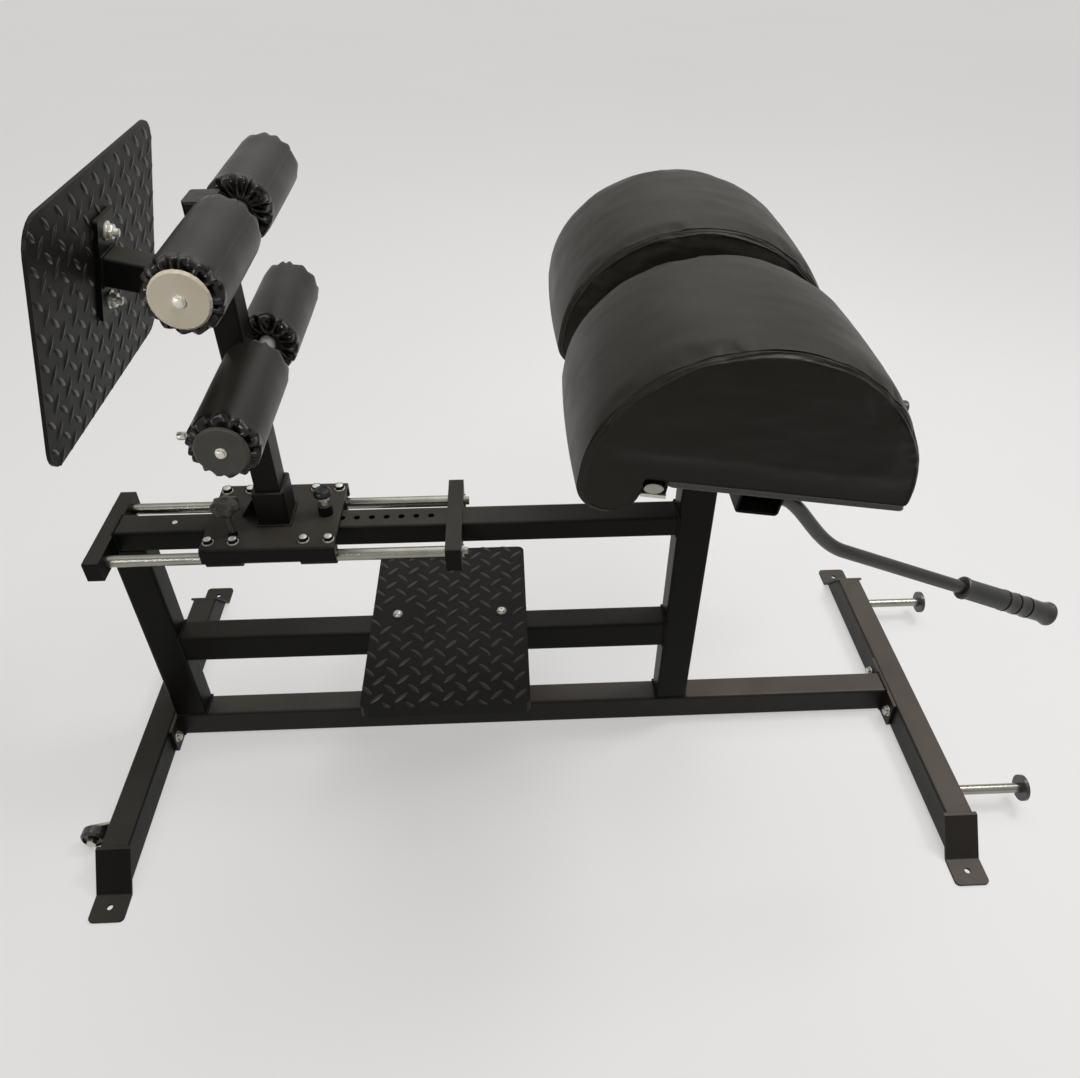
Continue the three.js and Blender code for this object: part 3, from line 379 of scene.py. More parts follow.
def pad_rows():
    """Rows across the pad as (y, inset), with the welt and the topstitched groove in the rounded edges."""
    angles = [0, 3, 6, 10, 14, 18, 23, 30, 38, 46, 53, 58, 61, 64, 66, 68, 71, 75, 80, 85]
    edge = []
    for angle in angles:
        lift = sum(h * math.exp(-(((angle - a) / w) ** 2)) for a, w, h in (WELT, TOPSTITCH))
        radius = PAD_EDGE + lift
        turn = math.radians(angle)
        edge.append((PAD_SPAN[0] + PAD_EDGE - radius * math.cos(turn), PAD_EDGE - radius * math.sin(turn)))
    middle, half = sum(PAD_SPAN) / 2, (PAD_SPAN[1] - PAD_SPAN[0]) / 2
    top = []
    for i in range(TOP_ROWS + 1):
        share = -1 + 2 * i / TOP_ROWS
        y = middle + share * (half - PAD_EDGE)
        top.append((y, -PAD_CROWN * (1 - share * share)))
    return edge + top + [(2 * middle - y, inset) for y, inset in reversed(edge)]


def cushion_mesh():
    """Points in the pad's own millimetres, and faces, of the right pad."""
    rows = pad_rows()
    points = [(x, -y, z) for y, inset in rows for x, z in pad_outline(inset)]
    count = len(points) // len(rows)
    faces = bands(0, len(rows), count)
    for row, flip in ((0, True), (len(rows) - 1, False)):
        first = row * count
        rim = [(points[first + i][0], points[first + i][2]) for i in range(count)]
        rim_y = points[first][1]
        inner = []
        xs, zs = [p[0] for p in rim], [p[1] for p in rim]
        z = min(zs) + END_GRID
        while z < max(zs):
            x = min(xs) + END_GRID / 2
            while x < max(xs):
                if inside(rim, x, z) and nearest(rim, x, z) > END_GRID * 0.6:
                    inner.append((x, z))
                x += END_GRID
            z += END_GRID
        loop = [(i, (i + 1) % count) for i in range(count)]
        found = geometry.delaunay_2d_cdt(
            [Vector(p) for p in rim + inner], loop, [], 1, 1e-6)
        places, corners, origins = found[0], found[2], found[3]
        index = []
        for k, place in enumerate(places):
            source = origins[k]
            if source and source[0] < count:
                index.append(first + source[0])
            else:
                index.append(len(points))
                points.append((place[0], rim_y, place[1]))
        for corner in corners:
            face = [index[c] for c in corner]
            faces.append(tuple(reversed(face)) if flip else tuple(face))
    return points, faces


def inside(rim, x, z):
    hit = False
    for (x0, z0), (x1, z1) in zip(rim, rim[1:] + rim[:1]):
        if (z0 > z) != (z1 > z) and x < x0 + (x1 - x0) * (z - z0) / (z1 - z0):
            hit = not hit
    return hit


def nearest(rim, x, z):
    return min(math.hypot(px - x, pz - z) for px, pz in rim)


def simulated_swell(points, faces):
    """Runs pressure cloth on a coarse copy and returns the displacement at each point, in millimetres."""
    mesh = bpy.data.meshes.new("swell")
    mesh.from_pydata([Vector(p) * MM for p in points], [], faces)
    mesh.update()
    form = placed("swell", mesh)
    bpy.context.view_layer.objects.active = form
    remesh = form.modifiers.new("remesh", "REMESH")
    remesh.mode = "VOXEL"
    remesh.voxel_size = SWELL_VOXEL * MM
    bpy.ops.object.modifier_apply(modifier="remesh")
    rest = np.array([v.co for v in form.data.vertices])
    pinned = form.vertex_groups.new(name="held")
    for v in form.data.vertices:
        hold = 1 - smoothstep((v.co.z / MM - HELD_UP_TO) / HELD_FADE)
        if hold > 0:
            pinned.add([v.index], hold, "REPLACE")
    cloth = form.modifiers.new("cloth", "CLOTH")
    settings = cloth.settings
    settings.quality = 5
    settings.mass = 0.4
    settings.use_pressure = True
    settings.uniform_pressure_force = 4
    settings.tension_stiffness = settings.compression_stiffness = 25
    settings.shear_stiffness = 8
    settings.bending_stiffness = 2
    settings.effector_weights.gravity = 0
    settings.vertex_group_mass = "held"
    for number in range(1, SWELL_FRAMES + 1):
        bpy.context.scene.frame_set(number)
    graph = bpy.context.evaluated_depsgraph_get()
    made = form.evaluated_get(graph)
    moved = np.array([v.co for v in made.data.vertices]) - rest
    bpy.context.scene.frame_set(1)
    tree = kdtree.KDTree(len(rest))
    for i, p in enumerate(rest):
        tree.insert(p, i)
    tree.balance()
    result = []
    for p in points:
        near = tree.find_n(Vector(p) * MM, 8)
        weights = np.array([1 / (d + 0.002) for _, _, d in near])
        result.append((weights[:, None] * moved[[i for _, i, _ in near]]).sum(0) / weights.sum() / MM)
    bpy.data.objects.remove(form)
    return np.array(result)


def hip_pads():
    points, faces = cushion_mesh()
    rest = np.array(points)
    swell = simulated_swell(points, faces)
    length = np.linalg.norm(swell, axis=1, keepdims=True)
    swell *= np.minimum(1, SWELL_MOST / np.maximum(length, 1e-6))
    shaped = []
    for (x, y, z), push in zip(rest, swell):
        free = smoothstep((z - HELD_UP_TO) / FREE_FADE)
        where = Vector((x, y * 2.5, z)) * 0.02
        soft = noise.noise(where) * 0.7 * free
        wall = min(y + PAD_SPAN[1], -PAD_SPAN[0] - y)
        pucker = 0.0
        if wall < PAD_EDGE * 0.7:
            drape = noise.noise(Vector((x * 0.016, y, z * 0.04)) + Vector((9, 3, 5)))
            creases = noise.noise(Vector((x * 0.03, 2.0, z * 0.12)))
            turn = math.atan2(z / PAD_TALL, (x - PAD_CENTRE) / PAD_HALF)
            below = (1 - math.hypot(z / PAD_TALL, (x - PAD_CENTRE) / PAD_HALF)) * PAD_TALL
            around = turn * (PAD_HALF + PAD_TALL) / 2
            patchy = 0.5 + noise.noise(Vector((around * 0.02, 7.0, y)))
            waver = 2 * noise.noise(Vector((around * 0.03, 1, y)))
            ticks = math.sin(2 * math.pi * around / PUCKER_PITCH + waver)
            fades = smoothstep(below / 3) * math.exp(-max(below, 0) / PUCKER_LONG)
            pucker = (drape * 2.2 + creases * 1.1 + PUCKER_DEEP * patchy * ticks * fades) * free
        side = -1 if y < -sum(PAD_SPAN) / 2 else 1
        shaped.append((x + push[0] * free, y + push[1] * free * 0.8 + pucker * side,
                       z + (push[2] + soft) * free))
    for name, side in SIDES:
        flipped = [(x, -side * y, z) for x, y, z in shaped]
        wound = faces if side < 0 else [tuple(reversed(f)) for f in faces]
        pad = piece(f"pad_cover_{name}", ([in_pads(*p) for p in flipped], wound), "black_vinyl", "frame")
        bm = bmesh.new()
        bm.from_mesh(pad.data)
        bmesh.ops.recalc_face_normals(bm, faces=bm.faces)
        bm.to_mesh(pad.data)
        bm.free()
        smooth = pad.modifiers.new("rounding", "SUBSURF")
        smooth.levels = smooth.render_levels = 1
        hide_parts(f"hip_pad_{name}")


hip_pads()

# Ankle rollers: a smooth sleeve whose cover is gathered over both ends
AXLE_X = 346.8
ROLLER_Z = {"upper": 1034, "lower": 835}
ROLLER_RADIUS = 46
ROLLER_SPAN = (31, 250)
PLEATS, PLEAT_STEPS = 15, 22
# Rows: share of the way in, distance from the end, radius, pleat depth
DISC_END = [
    (0.0, 30, 46, 0), (0.1, 25, 46, 0.1), (0.2, 20, 46, 0.3), (0.3, 15.5, 46.1, 0.9), (0.4, 11, 46.1, 2.2),
    (0.5, 7, 45.6, 4.8), (0.58, 4.2, 44.2, 8.2), (0.66, 2.0, 41.6, 9.8), (0.74, 0.6, 37.2, 8.4),
    (0.84, 0.2, 30, 3.0), (1.0, 0.4, 14, 0.2),
]
OPEN_END = [
    (0.0, 30, 46, 0), (0.1, 25, 46, 0.1), (0.2, 20, 46, 0.2), (0.3, 15.5, 46.1, 0.7), (0.4, 11, 45.9, 2.0),
    (0.5, 7, 44.9, 5.2), (0.58, 4.0, 42.6, 9.2), (0.66, 1.6, 39.0, 12.0), (0.74, 0.5, 34.0, 12.0),
    (0.82, 1.6, 28.0, 8.4), (0.91, 5.0, 21.6, 4.0), (1.0, 10, 14, 0.3),
]
END_ROWS = 26


def pleats(seed, edge):
    """Uneven folds round a roller's end: edges, strength, lean and start of each."""
    draw = random.Random(seed)
    widths = [draw.uniform(0.62, 1.4) for _ in range(PLEATS)]
    total, folds = sum(widths), []
    for width in widths:
        wide = 2 * math.pi * width / total
        folds.append((edge, wide, draw.uniform(0.7, 1.1), draw.uniform(-0.09, 0.09), draw.uniform(-0.14, 0.1)))
        edge += wide
    return folds


def roller(level, name, side, seed):
    points = []
    steps = PLEATS * PLEAT_STEPS
    first, last = pleats(seed, seed * 0.3), pleats(seed + 1, seed * 0.3)
    seam = math.radians(62 if level == "upper" else 200)
    draw = random.Random(seed + 2)
    ripple = draw.uniform(0, 50)
    rows = []
    for i in range(END_ROWS + 1):
        rows.append((OPEN_END, 1 - i / END_ROWS, first))
    for i in range(1, 9):
        rows.append((None, i / 9, None))
    for i in range(END_ROWS + 1):
        rows.append((DISC_END, i / END_ROWS, last))
    for table, share, folds in rows:
        for k in range(steps):
            if table is None:
                inner, outer = ROLLER_SPAN[0] + OPEN_END[0][1], ROLLER_SPAN[1] - DISC_END[0][1]
                along, radius = inner + (outer - inner) * share, ROLLER_RADIUS
                within = (k % PLEAT_STEPS) / PLEAT_STEPS
                (near, near_wide), (far, far_wide) = (ends[k // PLEAT_STEPS][:2] for ends in (first, last))
                turn = (near + near_wide * within) * (1 - share) + (far + far_wide * within) * share
            else:
                fold = folds[k // PLEAT_STEPS]
                within = (k % PLEAT_STEPS) / PLEAT_STEPS
                edge, wide, strong, lean, early = fold
                turn = edge + wide * within + lean * smoothstep(share * 1.6)
                inward, radius, depth = interpolate(table, share)
                late = smoothstep((share - 0.1 + early) / 0.3)
                sharp = 0.7 + 0.9 * smoothstep((share - 0.4) / 0.3)
                ridge = math.sin(math.pi * min(max((within - 0.04) / 0.92, 0), 1)) ** sharp
                crease = depth * strong * late * (1 - ridge)
                puff = 1.5 * smoothstep((share - 0.28) / 0.3) * (ridge - 0.5) * strong
                radius = radius - crease * 0.9 + puff
                inward = inward + crease * 0.75 * smoothstep((share - 0.45) / 0.3) - puff * 0.3
                inward = max(inward, 0.15)
                along = ROLLER_SPAN[0] + inward if table is OPEN_END else ROLLER_SPAN[1] - inward
            gap = abs((turn - seam + math.pi) % (2 * math.pi) - math.pi) * radius
            if radius > 40:
                radius -= 0.9 * math.exp(-((gap / 1.3) ** 2))
            where = Vector((math.cos(turn) * 1.2, along * 0.012, math.sin(turn) * 1.2 + ripple))
            radius += noise.noise(where) * 0.5
            points.append(at(AXLE_X + radius * math.sin(turn), side * along,
                             ROLLER_Z[level] + radius * math.cos(turn)))
    faces = bands(0, len(rows), steps)
    if side < 0:
        faces = [tuple(reversed(face)) for face in faces]
    made = piece(f"roller_cover_{level}_{name}", (points, faces), "roller_vinyl", f"roller_{level}_{name}")
    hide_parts(f"roller_{level}_{name}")


for seed, (level, name, side) in enumerate((l, n, s) for l in ROLLER_Z for n, s in SIDES):
    roller(level, name, side, 40 + 3 * seed)

# Tread plate: lens shaped lugs along both diagonals, in a chequered grid that runs to the edges
LUG_TALL, LUG_LONG, LUG_WIDE, LUG_PITCH = 1.8, 31, 9, 41
LUG_STEPS = 8
LUG_LEVELS = ((1.0, -0.2), (0.93, 0.2), (0.74, 0.56), (0.46, 0.87), (0.16, 1.0))  # spread and rise


def tread_field(name, origin, u, v, up, half, corner, body, shift, holes=()):
    """Lugs on a rounded rectangle of half sizes in millimetres, cut off at its edge."""
    points, faces = [], []

    def kept(a, b):
        """The nearest place inside the rounded edge."""
        a, b = min(max(a, -half[0]), half[0]), min(max(b, -half[1]), half[1])
        da, db = abs(a) - (half[0] - corner), abs(b) - (half[1] - corner)
        if da > 0 and db > 0 and math.hypot(da, db) > corner:
            shrink = corner / math.hypot(da, db)
            a = math.copysign(half[0] - corner + da * shrink, a)
            b = math.copysign(half[1] - corner + db * shrink, b)
        return a, b

    columns, rows = (int(h / LUG_PITCH * 2) + 2 for h in half)
    for row in range(-rows, rows + 1):
        for column in range(-columns, columns + 1):
            if (row + column) % 2:
                continue
            a0, b0 = column * LUG_PITCH / 2 + shift[0], row * LUG_PITCH / 2 + shift[1]
            if kept(a0, b0) != (a0, b0):
                continue
            if any(math.hypot(a0 - a, b0 - b) < r + LUG_LONG * 0.45 for a, b, r in holes):
                continue
            lean = math.radians(45 if row % 2 else -45)
            first = len(points)
            for spread, rise in LUG_LEVELS:
                for k in range(2 * LUG_STEPS):
                    turn = math.pi * k / LUG_STEPS
                    along = math.cos(turn) * LUG_LONG / 2 * spread
                    bulge = abs(math.sin(turn)) ** 1.35 * LUG_WIDE / 2 * spread
                    across = math.copysign(bulge, math.sin(turn))
                    a, b = kept(a0 + along * math.cos(lean) - across * math.sin(lean),
                                b0 + along * math.sin(lean) + across * math.cos(lean))
                    points.append(origin + (u * a + v * b + up * (rise * LUG_TALL)) * MM)
            count = 2 * LUG_STEPS
            faces += bands(first, len(LUG_LEVELS), count)
            top = first + (len(LUG_LEVELS) - 1) * count
            faces.append(tuple(top + k for k in range(count)))
    piece(name, (points, faces), "lit_tread_lugs", body)


PLATE_X, PLATE_Z, PLATE_TILT, PLATE_THICK = 152, 948, math.radians(14), 5
PLATE_HALF, PLATE_CORNER = (228, 168), 38
ARM_RISE, PLATE_BOLT_SPACING = 30, 98
plate_up = Vector((math.cos(PLATE_TILT), 0, -math.sin(PLATE_TILT)))
plate_v = Vector((math.sin(PLATE_TILT), 0, math.cos(PLATE_TILT)))
plate_middle = at(PLATE_X, 0, PLATE_Z)
around = [(0, ARM_RISE + PLATE_BOLT_SPACING / 2, 14), (0, ARM_RISE - PLATE_BOLT_SPACING / 2, 14),
          (0, ARM_RISE, 26)]
tread_field("foot_plate_tread", plate_middle + plate_up * (PLATE_THICK / 2 * MM), Vector((0, 1, 0)), plate_v,
            plate_up, PLATE_HALF, PLATE_CORNER, "foot_carriage", (-7.5, -15), around)
STEP_X, STEP_HALF, STEP_TOP, STEP_CORNER = 585, (145, 208), 283.3, 12
STEP_BOLTS = [(STEP_X - 98, 18), (STEP_X + 98, 18)]
tread_field("step_plate_tread", at(STEP_X, 0, STEP_TOP), Vector((1, 0, 0)), Vector((0, 1, 0)),
            Vector((0, 0, 1)), STEP_HALF, STEP_CORNER, "frame", (-15, -2.5),
            [(x - STEP_X, y, 9) for x, y in STEP_BOLTS])


# Fasteners, turned about an axis from profiles of (radius, height)
def spun(form, centre, axis, profile, steps=32, scallop=None, sleeve=False):
    """Adds a closed turned form, or a sleeve whose profile is a loop; scallop scales the radius."""
    points, faces = form
    axis = Vector(axis).normalized()
    side = axis.orthogonal().normalized()
    other = axis.cross(side)
    first = len(points)
    for radius, height in profile:
        for k in range(steps):
            turn = 2 * math.pi * k / steps
            r = radius * (scallop(turn, radius) if scallop else 1)
            points.append(centre + (side * (r * math.cos(turn)) + other * (r * math.sin(turn))
                                    + axis * height) * MM)
    faces += bands(first, len(profile), steps)
    last = first + (len(profile) - 1) * steps
    if sleeve:
        faces += [(last + k, last + (k + 1) % steps, first + (k + 1) % steps, first + k) for k in range(steps)]
    else:
        faces += caps(first, last, steps)


def hexed(corner):
    """Radius factor that makes a hexagon of a circle up to a corner radius."""
    def factor(turn, radius):
        if radius > corner * 1.01 or radius < corner * 0.8:
            return 1
        flat = math.cos(math.pi / 6) / math.cos((turn % (math.pi / 3)) - math.pi / 6)
        return max(flat, min(1, corner * 0.88 / radius))
    return factor


def hex_bolt(form, centre, axis, corner, tall):
    """A hexagon head with a chamfered, slightly domed top, on a washer."""
    washer = corner * 1.22
    spun(form, centre, axis, [
        (washer, -0.2), (washer, 1.1), (washer * 0.97, 1.5), (corner * 0.9, 1.6)])
    spun(form, centre, axis, [
        (corner, 1.2), (corner, tall - 0.9), (corner * 0.93, tall), (corner * 0.75, tall + 0.5),
        (corner * 0.4, tall + 0.8), (corner * 0.1, tall + 0.9),
    ], 48, hexed(corner))


def button_bolt(form, centre, axis, radius, tall):
    """A round socket head."""
    spun(form, centre, axis, [
        (radius, -0.2), (radius, tall * 0.2), (radius * 0.93, tall * 0.5), (radius * 0.78, tall * 0.76),
        (radius * 0.55, tall * 0.92), (radius * 0.3, tall), (radius * 0.2, tall), (radius * 0.17, tall * 0.7),
        (radius * 0.03, tall * 0.65),
    ])


def sharpened(made, angle=40):
    edges = made.modifiers.new("edges", "EDGE_SPLIT")
    edges.split_angle = math.radians(angle)
    return made


def steel(name, form, body):
    return sharpened(piece(name, form, "bright_steel", body))


def fasteners(name, body, kind, places, axis, *sizes):
    form = [], []
    for place in places:
        kind(form, place, axis, *sizes)
    steel(name, form, body)


CARRIAGE_X, CARRIAGE_TOP, ROD_Y = 312, 542, 70
BLOCK_SPACING, BLOCK_BOLTS = 153, 40
up = Vector((0, 0, 1))
fasteners("carriage_bolts", "foot_carriage", hex_bolt, [
    at(CARRIAGE_X + end * BLOCK_SPACING / 2 + along * BLOCK_BOLTS / 2, side * ROD_Y, CARRIAGE_TOP + 0.1)
    for end in (-1, 1) for along in (-1, 1) for side in (-1, 1)], up, 7.6, 7.0)
fasteners("step_bolts", "frame", button_bolt, [at(x, y, STEP_TOP + 0.1) for x, y in STEP_BOLTS], up, 9.5, 6.0)
FLANGE_FACES = (("foot", 25.3 + 6, 1), ("pad", 1496 - 25.3 - 6, -1))  # end, place, the way that it looks
for end, face, way in FLANGE_FACES:
    fasteners(f"flange_bolts_{end}_end", "frame", hex_bolt,
              [at(face + way * 0.1, side * 53, 35.3) for side in (-1, 1)], Vector((way, 0, 0)), 9.0, 7.4)

fasteners("rail_screw", "frame", button_bolt, [at(141, 0, 531.1)], up, 4.5, 1.8)


# Foot plate bolts: a washer, a nut and the bolt's threaded end, and its head behind the plate
NUT_FACE, NUT_TALL, PLATE_WASHER = 8.8, 7.6, 2.0
THREAD_STEP = 0.75  # half of a thread's pitch
for name, rise in (("upper", ARM_RISE + PLATE_BOLT_SPACING / 2), ("lower", ARM_RISE - PLATE_BOLT_SPACING / 2)):
    form = [], []
    centre = plate_middle + plate_v * (rise * MM)
    washer_top = NUT_FACE + PLATE_WASHER
    spun(form, centre, plate_up, [
        (13, NUT_FACE + 0.1), (13, washer_top - 0.5), (12.4, washer_top), (7, washer_top)], 40)
    nut_top = washer_top + NUT_TALL
    spun(form, centre, plate_up, [
        (9.6, washer_top - 0.3), (11, washer_top + 0.9), (11, nut_top - 1.1), (9.4, nut_top), (5, nut_top),
    ], 48, hexed(11))
    thread = [(5.9 if k % 2 else 5.2, nut_top - 1 + THREAD_STEP * k) for k in range(10)]
    spun(form, centre, plate_up, [(5.2, 0)] + thread + [
        (4.6, nut_top + 6.9), (2.5, nut_top + 7.5), (0.3, nut_top + 7.6)], 28)
    spun(form, centre, -plate_up, [
        (13, PLATE_THICK / 2 + 0.3), (13, 4.2), (12.4, 4.7), (8, 4.8)], 40)
    spun(form, centre, -plate_up, [
        (11, 4.6), (11, 10.4), (10, 11.4), (6, 11.7), (0.3, 11.8)], 48, hexed(11))
    bolt = steel(f"plate_fastener_{name}", form, "foot_carriage")
    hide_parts(f"plate_bolt_{name}")


# Ankle roller axles, each with a domed bolt on a washer at both ends
for level, z in ROLLER_Z.items():
    form = [], []
    spun(form, at(AXLE_X, 0, z), (0, 1, 0), [(12.0, -249.8), (12.5, -249), (12.5, 249), (12.0, 249.8)])
    for side in (-1, 1):
        hex_bolt(form, at(AXLE_X, side * 255.5, z), Vector((0, side, 0)), 6.0, 5.0)
        spun(form, at(AXLE_X, 0, z), Vector((0, side, 0)), [(6, 249.5), (6, 257)], 20)
    axle = steel(f"axle_and_bolts_{level}", form, "foot_carriage")
    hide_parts(f"axle_{level}")


# Swept bars, and the weld beads
def sweep(form, path, section, closed=False, scale=None, up=Vector((0, 0, 1))):
    """Adds a bar along a path in metres. Its section is in millimetres, across and along up."""
    points, faces = form
    first, count = len(points), len(section)
    for i, place in enumerate(path):
        before = path[i - 1] if closed or i else place
        after = path[(i + 1) % len(path)] if closed or i + 1 < len(path) else place
        ahead = (after - before).normalized()
        across = ahead.cross(up).normalized()
        lift = across.cross(ahead)
        size = scale(i) if scale else 1
        points += [place + (across * (a * size) + lift * (b * size)) * MM for a, b in section]
    rings = len(path) if closed else len(path) - 1
    for i in range(rings):
        here, there = first + i * count, first + ((i + 1) % len(path)) * count
        faces += [(here + k, here + (k + 1) % count, there + (k + 1) % count, there + k) for k in range(count)]
    if not closed:
        faces += caps(first, first + (len(path) - 1) * count, count)


def round_section(radius, steps):
    return [(radius * math.cos(2 * math.pi * k / steps), radius * math.sin(2 * math.pi * k / steps))
            for k in range(steps)]


def spaced(corners, step):
    """Points round a closed loop of corners, at most a step in metres apart."""
    path = []
    for here, there in zip(corners, corners[1:] + corners[:1]):
        count = max(1, math.ceil((there - here).length / step))
        path += [here.lerp(there, k / count) for k in range(count)]
    return path


BEAD, RIPPLE, BEAD_STEP = 2.5, 3.4, 0.7
WAVER_STEPS = 12


def weld(name, body, loops):
    """Rippled beads along closed loops of corners."""
    form = [], []
    draw = random.Random(len(name))
    for corners, up_way in loops:
        path = spaced(corners, BEAD_STEP * MM)
        waver = [draw.uniform(0.9, 1.12) for _ in range(len(path) // WAVER_STEPS + 2)]

        def size(i):
            share = (i % WAVER_STEPS) / WAVER_STEPS
            base = waver[i // WAVER_STEPS] * (1 - share) + waver[i // WAVER_STEPS + 1] * share
            return base * (1 + 0.16 * math.sin(2 * math.pi * i * BEAD_STEP / RIPPLE))
        sweep(form, path, round_section(BEAD, 8), True, size, up_way)
    piece(name, form, "black_paint", body)


def flat_loop(x0, x1, y0, y1, z):
    return [at(x0, y0, z), at(x1, y0, z), at(x1, y1, z), at(x0, y1, z)], Vector((0, 0, 1))


def tube_end_loop(x, z0, z1):
    y0, y1 = -TUBE_HALF, TUBE_HALF
    return [at(x, y0, z0), at(x, y1, z0), at(x, y1, z1), at(x, y0, z1)], Vector((1, 0, 0))


FOOT_UPRIGHT, PAD_UPRIGHT = (28, 88), (990, 1050)
TUBE_HALF, BEAM_TOP, BEAM_BOTTOM, BEAM_ENDS = 25, 65.3, 6.5, (31.4, 1464.6)
MID_RAIL_SPAN, INDEX_RAIL_SPAN, INDEX_RAIL_START = (219, 279), (490, 531), 45.2
POST_X, SOCKET_HALF, POST_FACE, ARM_SPAN = 314, (26.3, 31.3), 293.6, (922, 965)
BEAD_OFF, CROSS_TUBE_UNDER = 0.2, -52.5
ARM_WELD_UP, ARM_WELD = 8.9, ((-25, 9), (25, 9), (25, 51), (-25, 51))
weld("welds_uprights", "frame", [
    flat_loop(FOOT_UPRIGHT[0] + 4, FOOT_UPRIGHT[1], -TUBE_HALF, TUBE_HALF, BEAM_TOP + BEAD_OFF),
    flat_loop(*PAD_UPRIGHT, -TUBE_HALF, TUBE_HALF, BEAM_TOP + BEAD_OFF),
    tube_end_loop(FOOT_UPRIGHT[1] + BEAD_OFF, *MID_RAIL_SPAN),
    tube_end_loop(PAD_UPRIGHT[0] - BEAD_OFF, *MID_RAIL_SPAN),
    tube_end_loop(PAD_UPRIGHT[0] - BEAD_OFF, *INDEX_RAIL_SPAN),
    tube_end_loop(INDEX_RAIL_START, *INDEX_RAIL_SPAN),
    tube_end_loop(BEAM_ENDS[0], BEAM_BOTTOM, BEAM_TOP),
    tube_end_loop(BEAM_ENDS[1], BEAM_BOTTOM, BEAM_TOP),
])


def on_cross_tube(x, y):
    """The place below the tilted cross tube at a machine x."""
    along = (x - PAD_ORIGIN[0] - CROSS_TUBE_UNDER * math.sin(PAD_TILT)) / math.cos(PAD_TILT)
    return in_pads(along, y, CROSS_TUBE_UNDER)


PAD_UP = Vector((math.sin(PAD_TILT), 0, math.cos(PAD_TILT)))
weld("weld_cross_tube", "frame", [([
    on_cross_tube(PAD_UPRIGHT[0], -TUBE_HALF), on_cross_tube(PAD_UPRIGHT[1], -TUBE_HALF),
    on_cross_tube(PAD_UPRIGHT[1], TUBE_HALF), on_cross_tube(PAD_UPRIGHT[0], TUBE_HALF)], PAD_UP)])
weld("welds_post", "foot_carriage", [
    flat_loop(POST_X - SOCKET_HALF[0], POST_X + SOCKET_HALF[0], -SOCKET_HALF[1], SOCKET_HALF[1],
              CARRIAGE_TOP + BEAD_OFF),
    ([plate_middle + (plate_up * ARM_WELD_UP + plate_v * v) * MM + Vector((0, y * MM, 0))
      for y, v in ARM_WELD], plate_up),
    tube_end_loop(POST_FACE, *ARM_SPAN),
])

# Handles with their grips, and the trim of the boards
HANDLE_Y, HANDLE_RADIUS, HANDLE_SLOPE = 290, 9.5, math.radians(21.8)
HANDLE_OUT = Vector((math.cos(HANDLE_SLOPE), 0, -math.sin(HANDLE_SLOPE)))
TUBE_OUT = Vector((math.cos(PAD_TILT), 0, -math.sin(PAD_TILT)))
GRIP_LONG, HANDLE_STRAIGHT, GRIP_OVERHANG = 160, 200, 6.3
HANDLE_START, HANDLE_BEND, BEND_PULLS = (8.3, -33.3), Vector((106, 0, -95)), (34, 52)
GRIP_START = [(9.8, 0), (14.2, 0), (15.9, 0.7), (16.6, 2.0), (16.6, 5.2), (16.0, 6.8), (14.7, 7.6), (14.9, 9.5)]
GRIP_GROOVES = (75, 95.5, 116)
GRIP_END = [(15.0, 128), (14.8, 142), (15.4, 149), (17.2, 154.5), (17.9, 157), (17.6, 159), (16.2, 160.2),
            (10, 160.6), (0.3, 160.6), (0.3, 154.2), (9.8, 154.2)]
BOARD_Y, BOARD_X, BOARD_CORNER, BOARD_MIDDLE = (51, 320), (-150, 160), 8, -7.2
TRIM_BAND = [(-0.3, -6.9), (1.5, -6.9), (2.2, -5.6), (1.1, -3.4), (1.1, 3.4), (2.2, 5.6), (1.5, 6.7),
             (-0.3, 6.7)]


def bezier(a, b, c, d, share):
    rest = 1 - share
    return a * rest ** 3 + b * (3 * rest * rest * share) + c * (3 * rest * share * share) + d * share ** 3


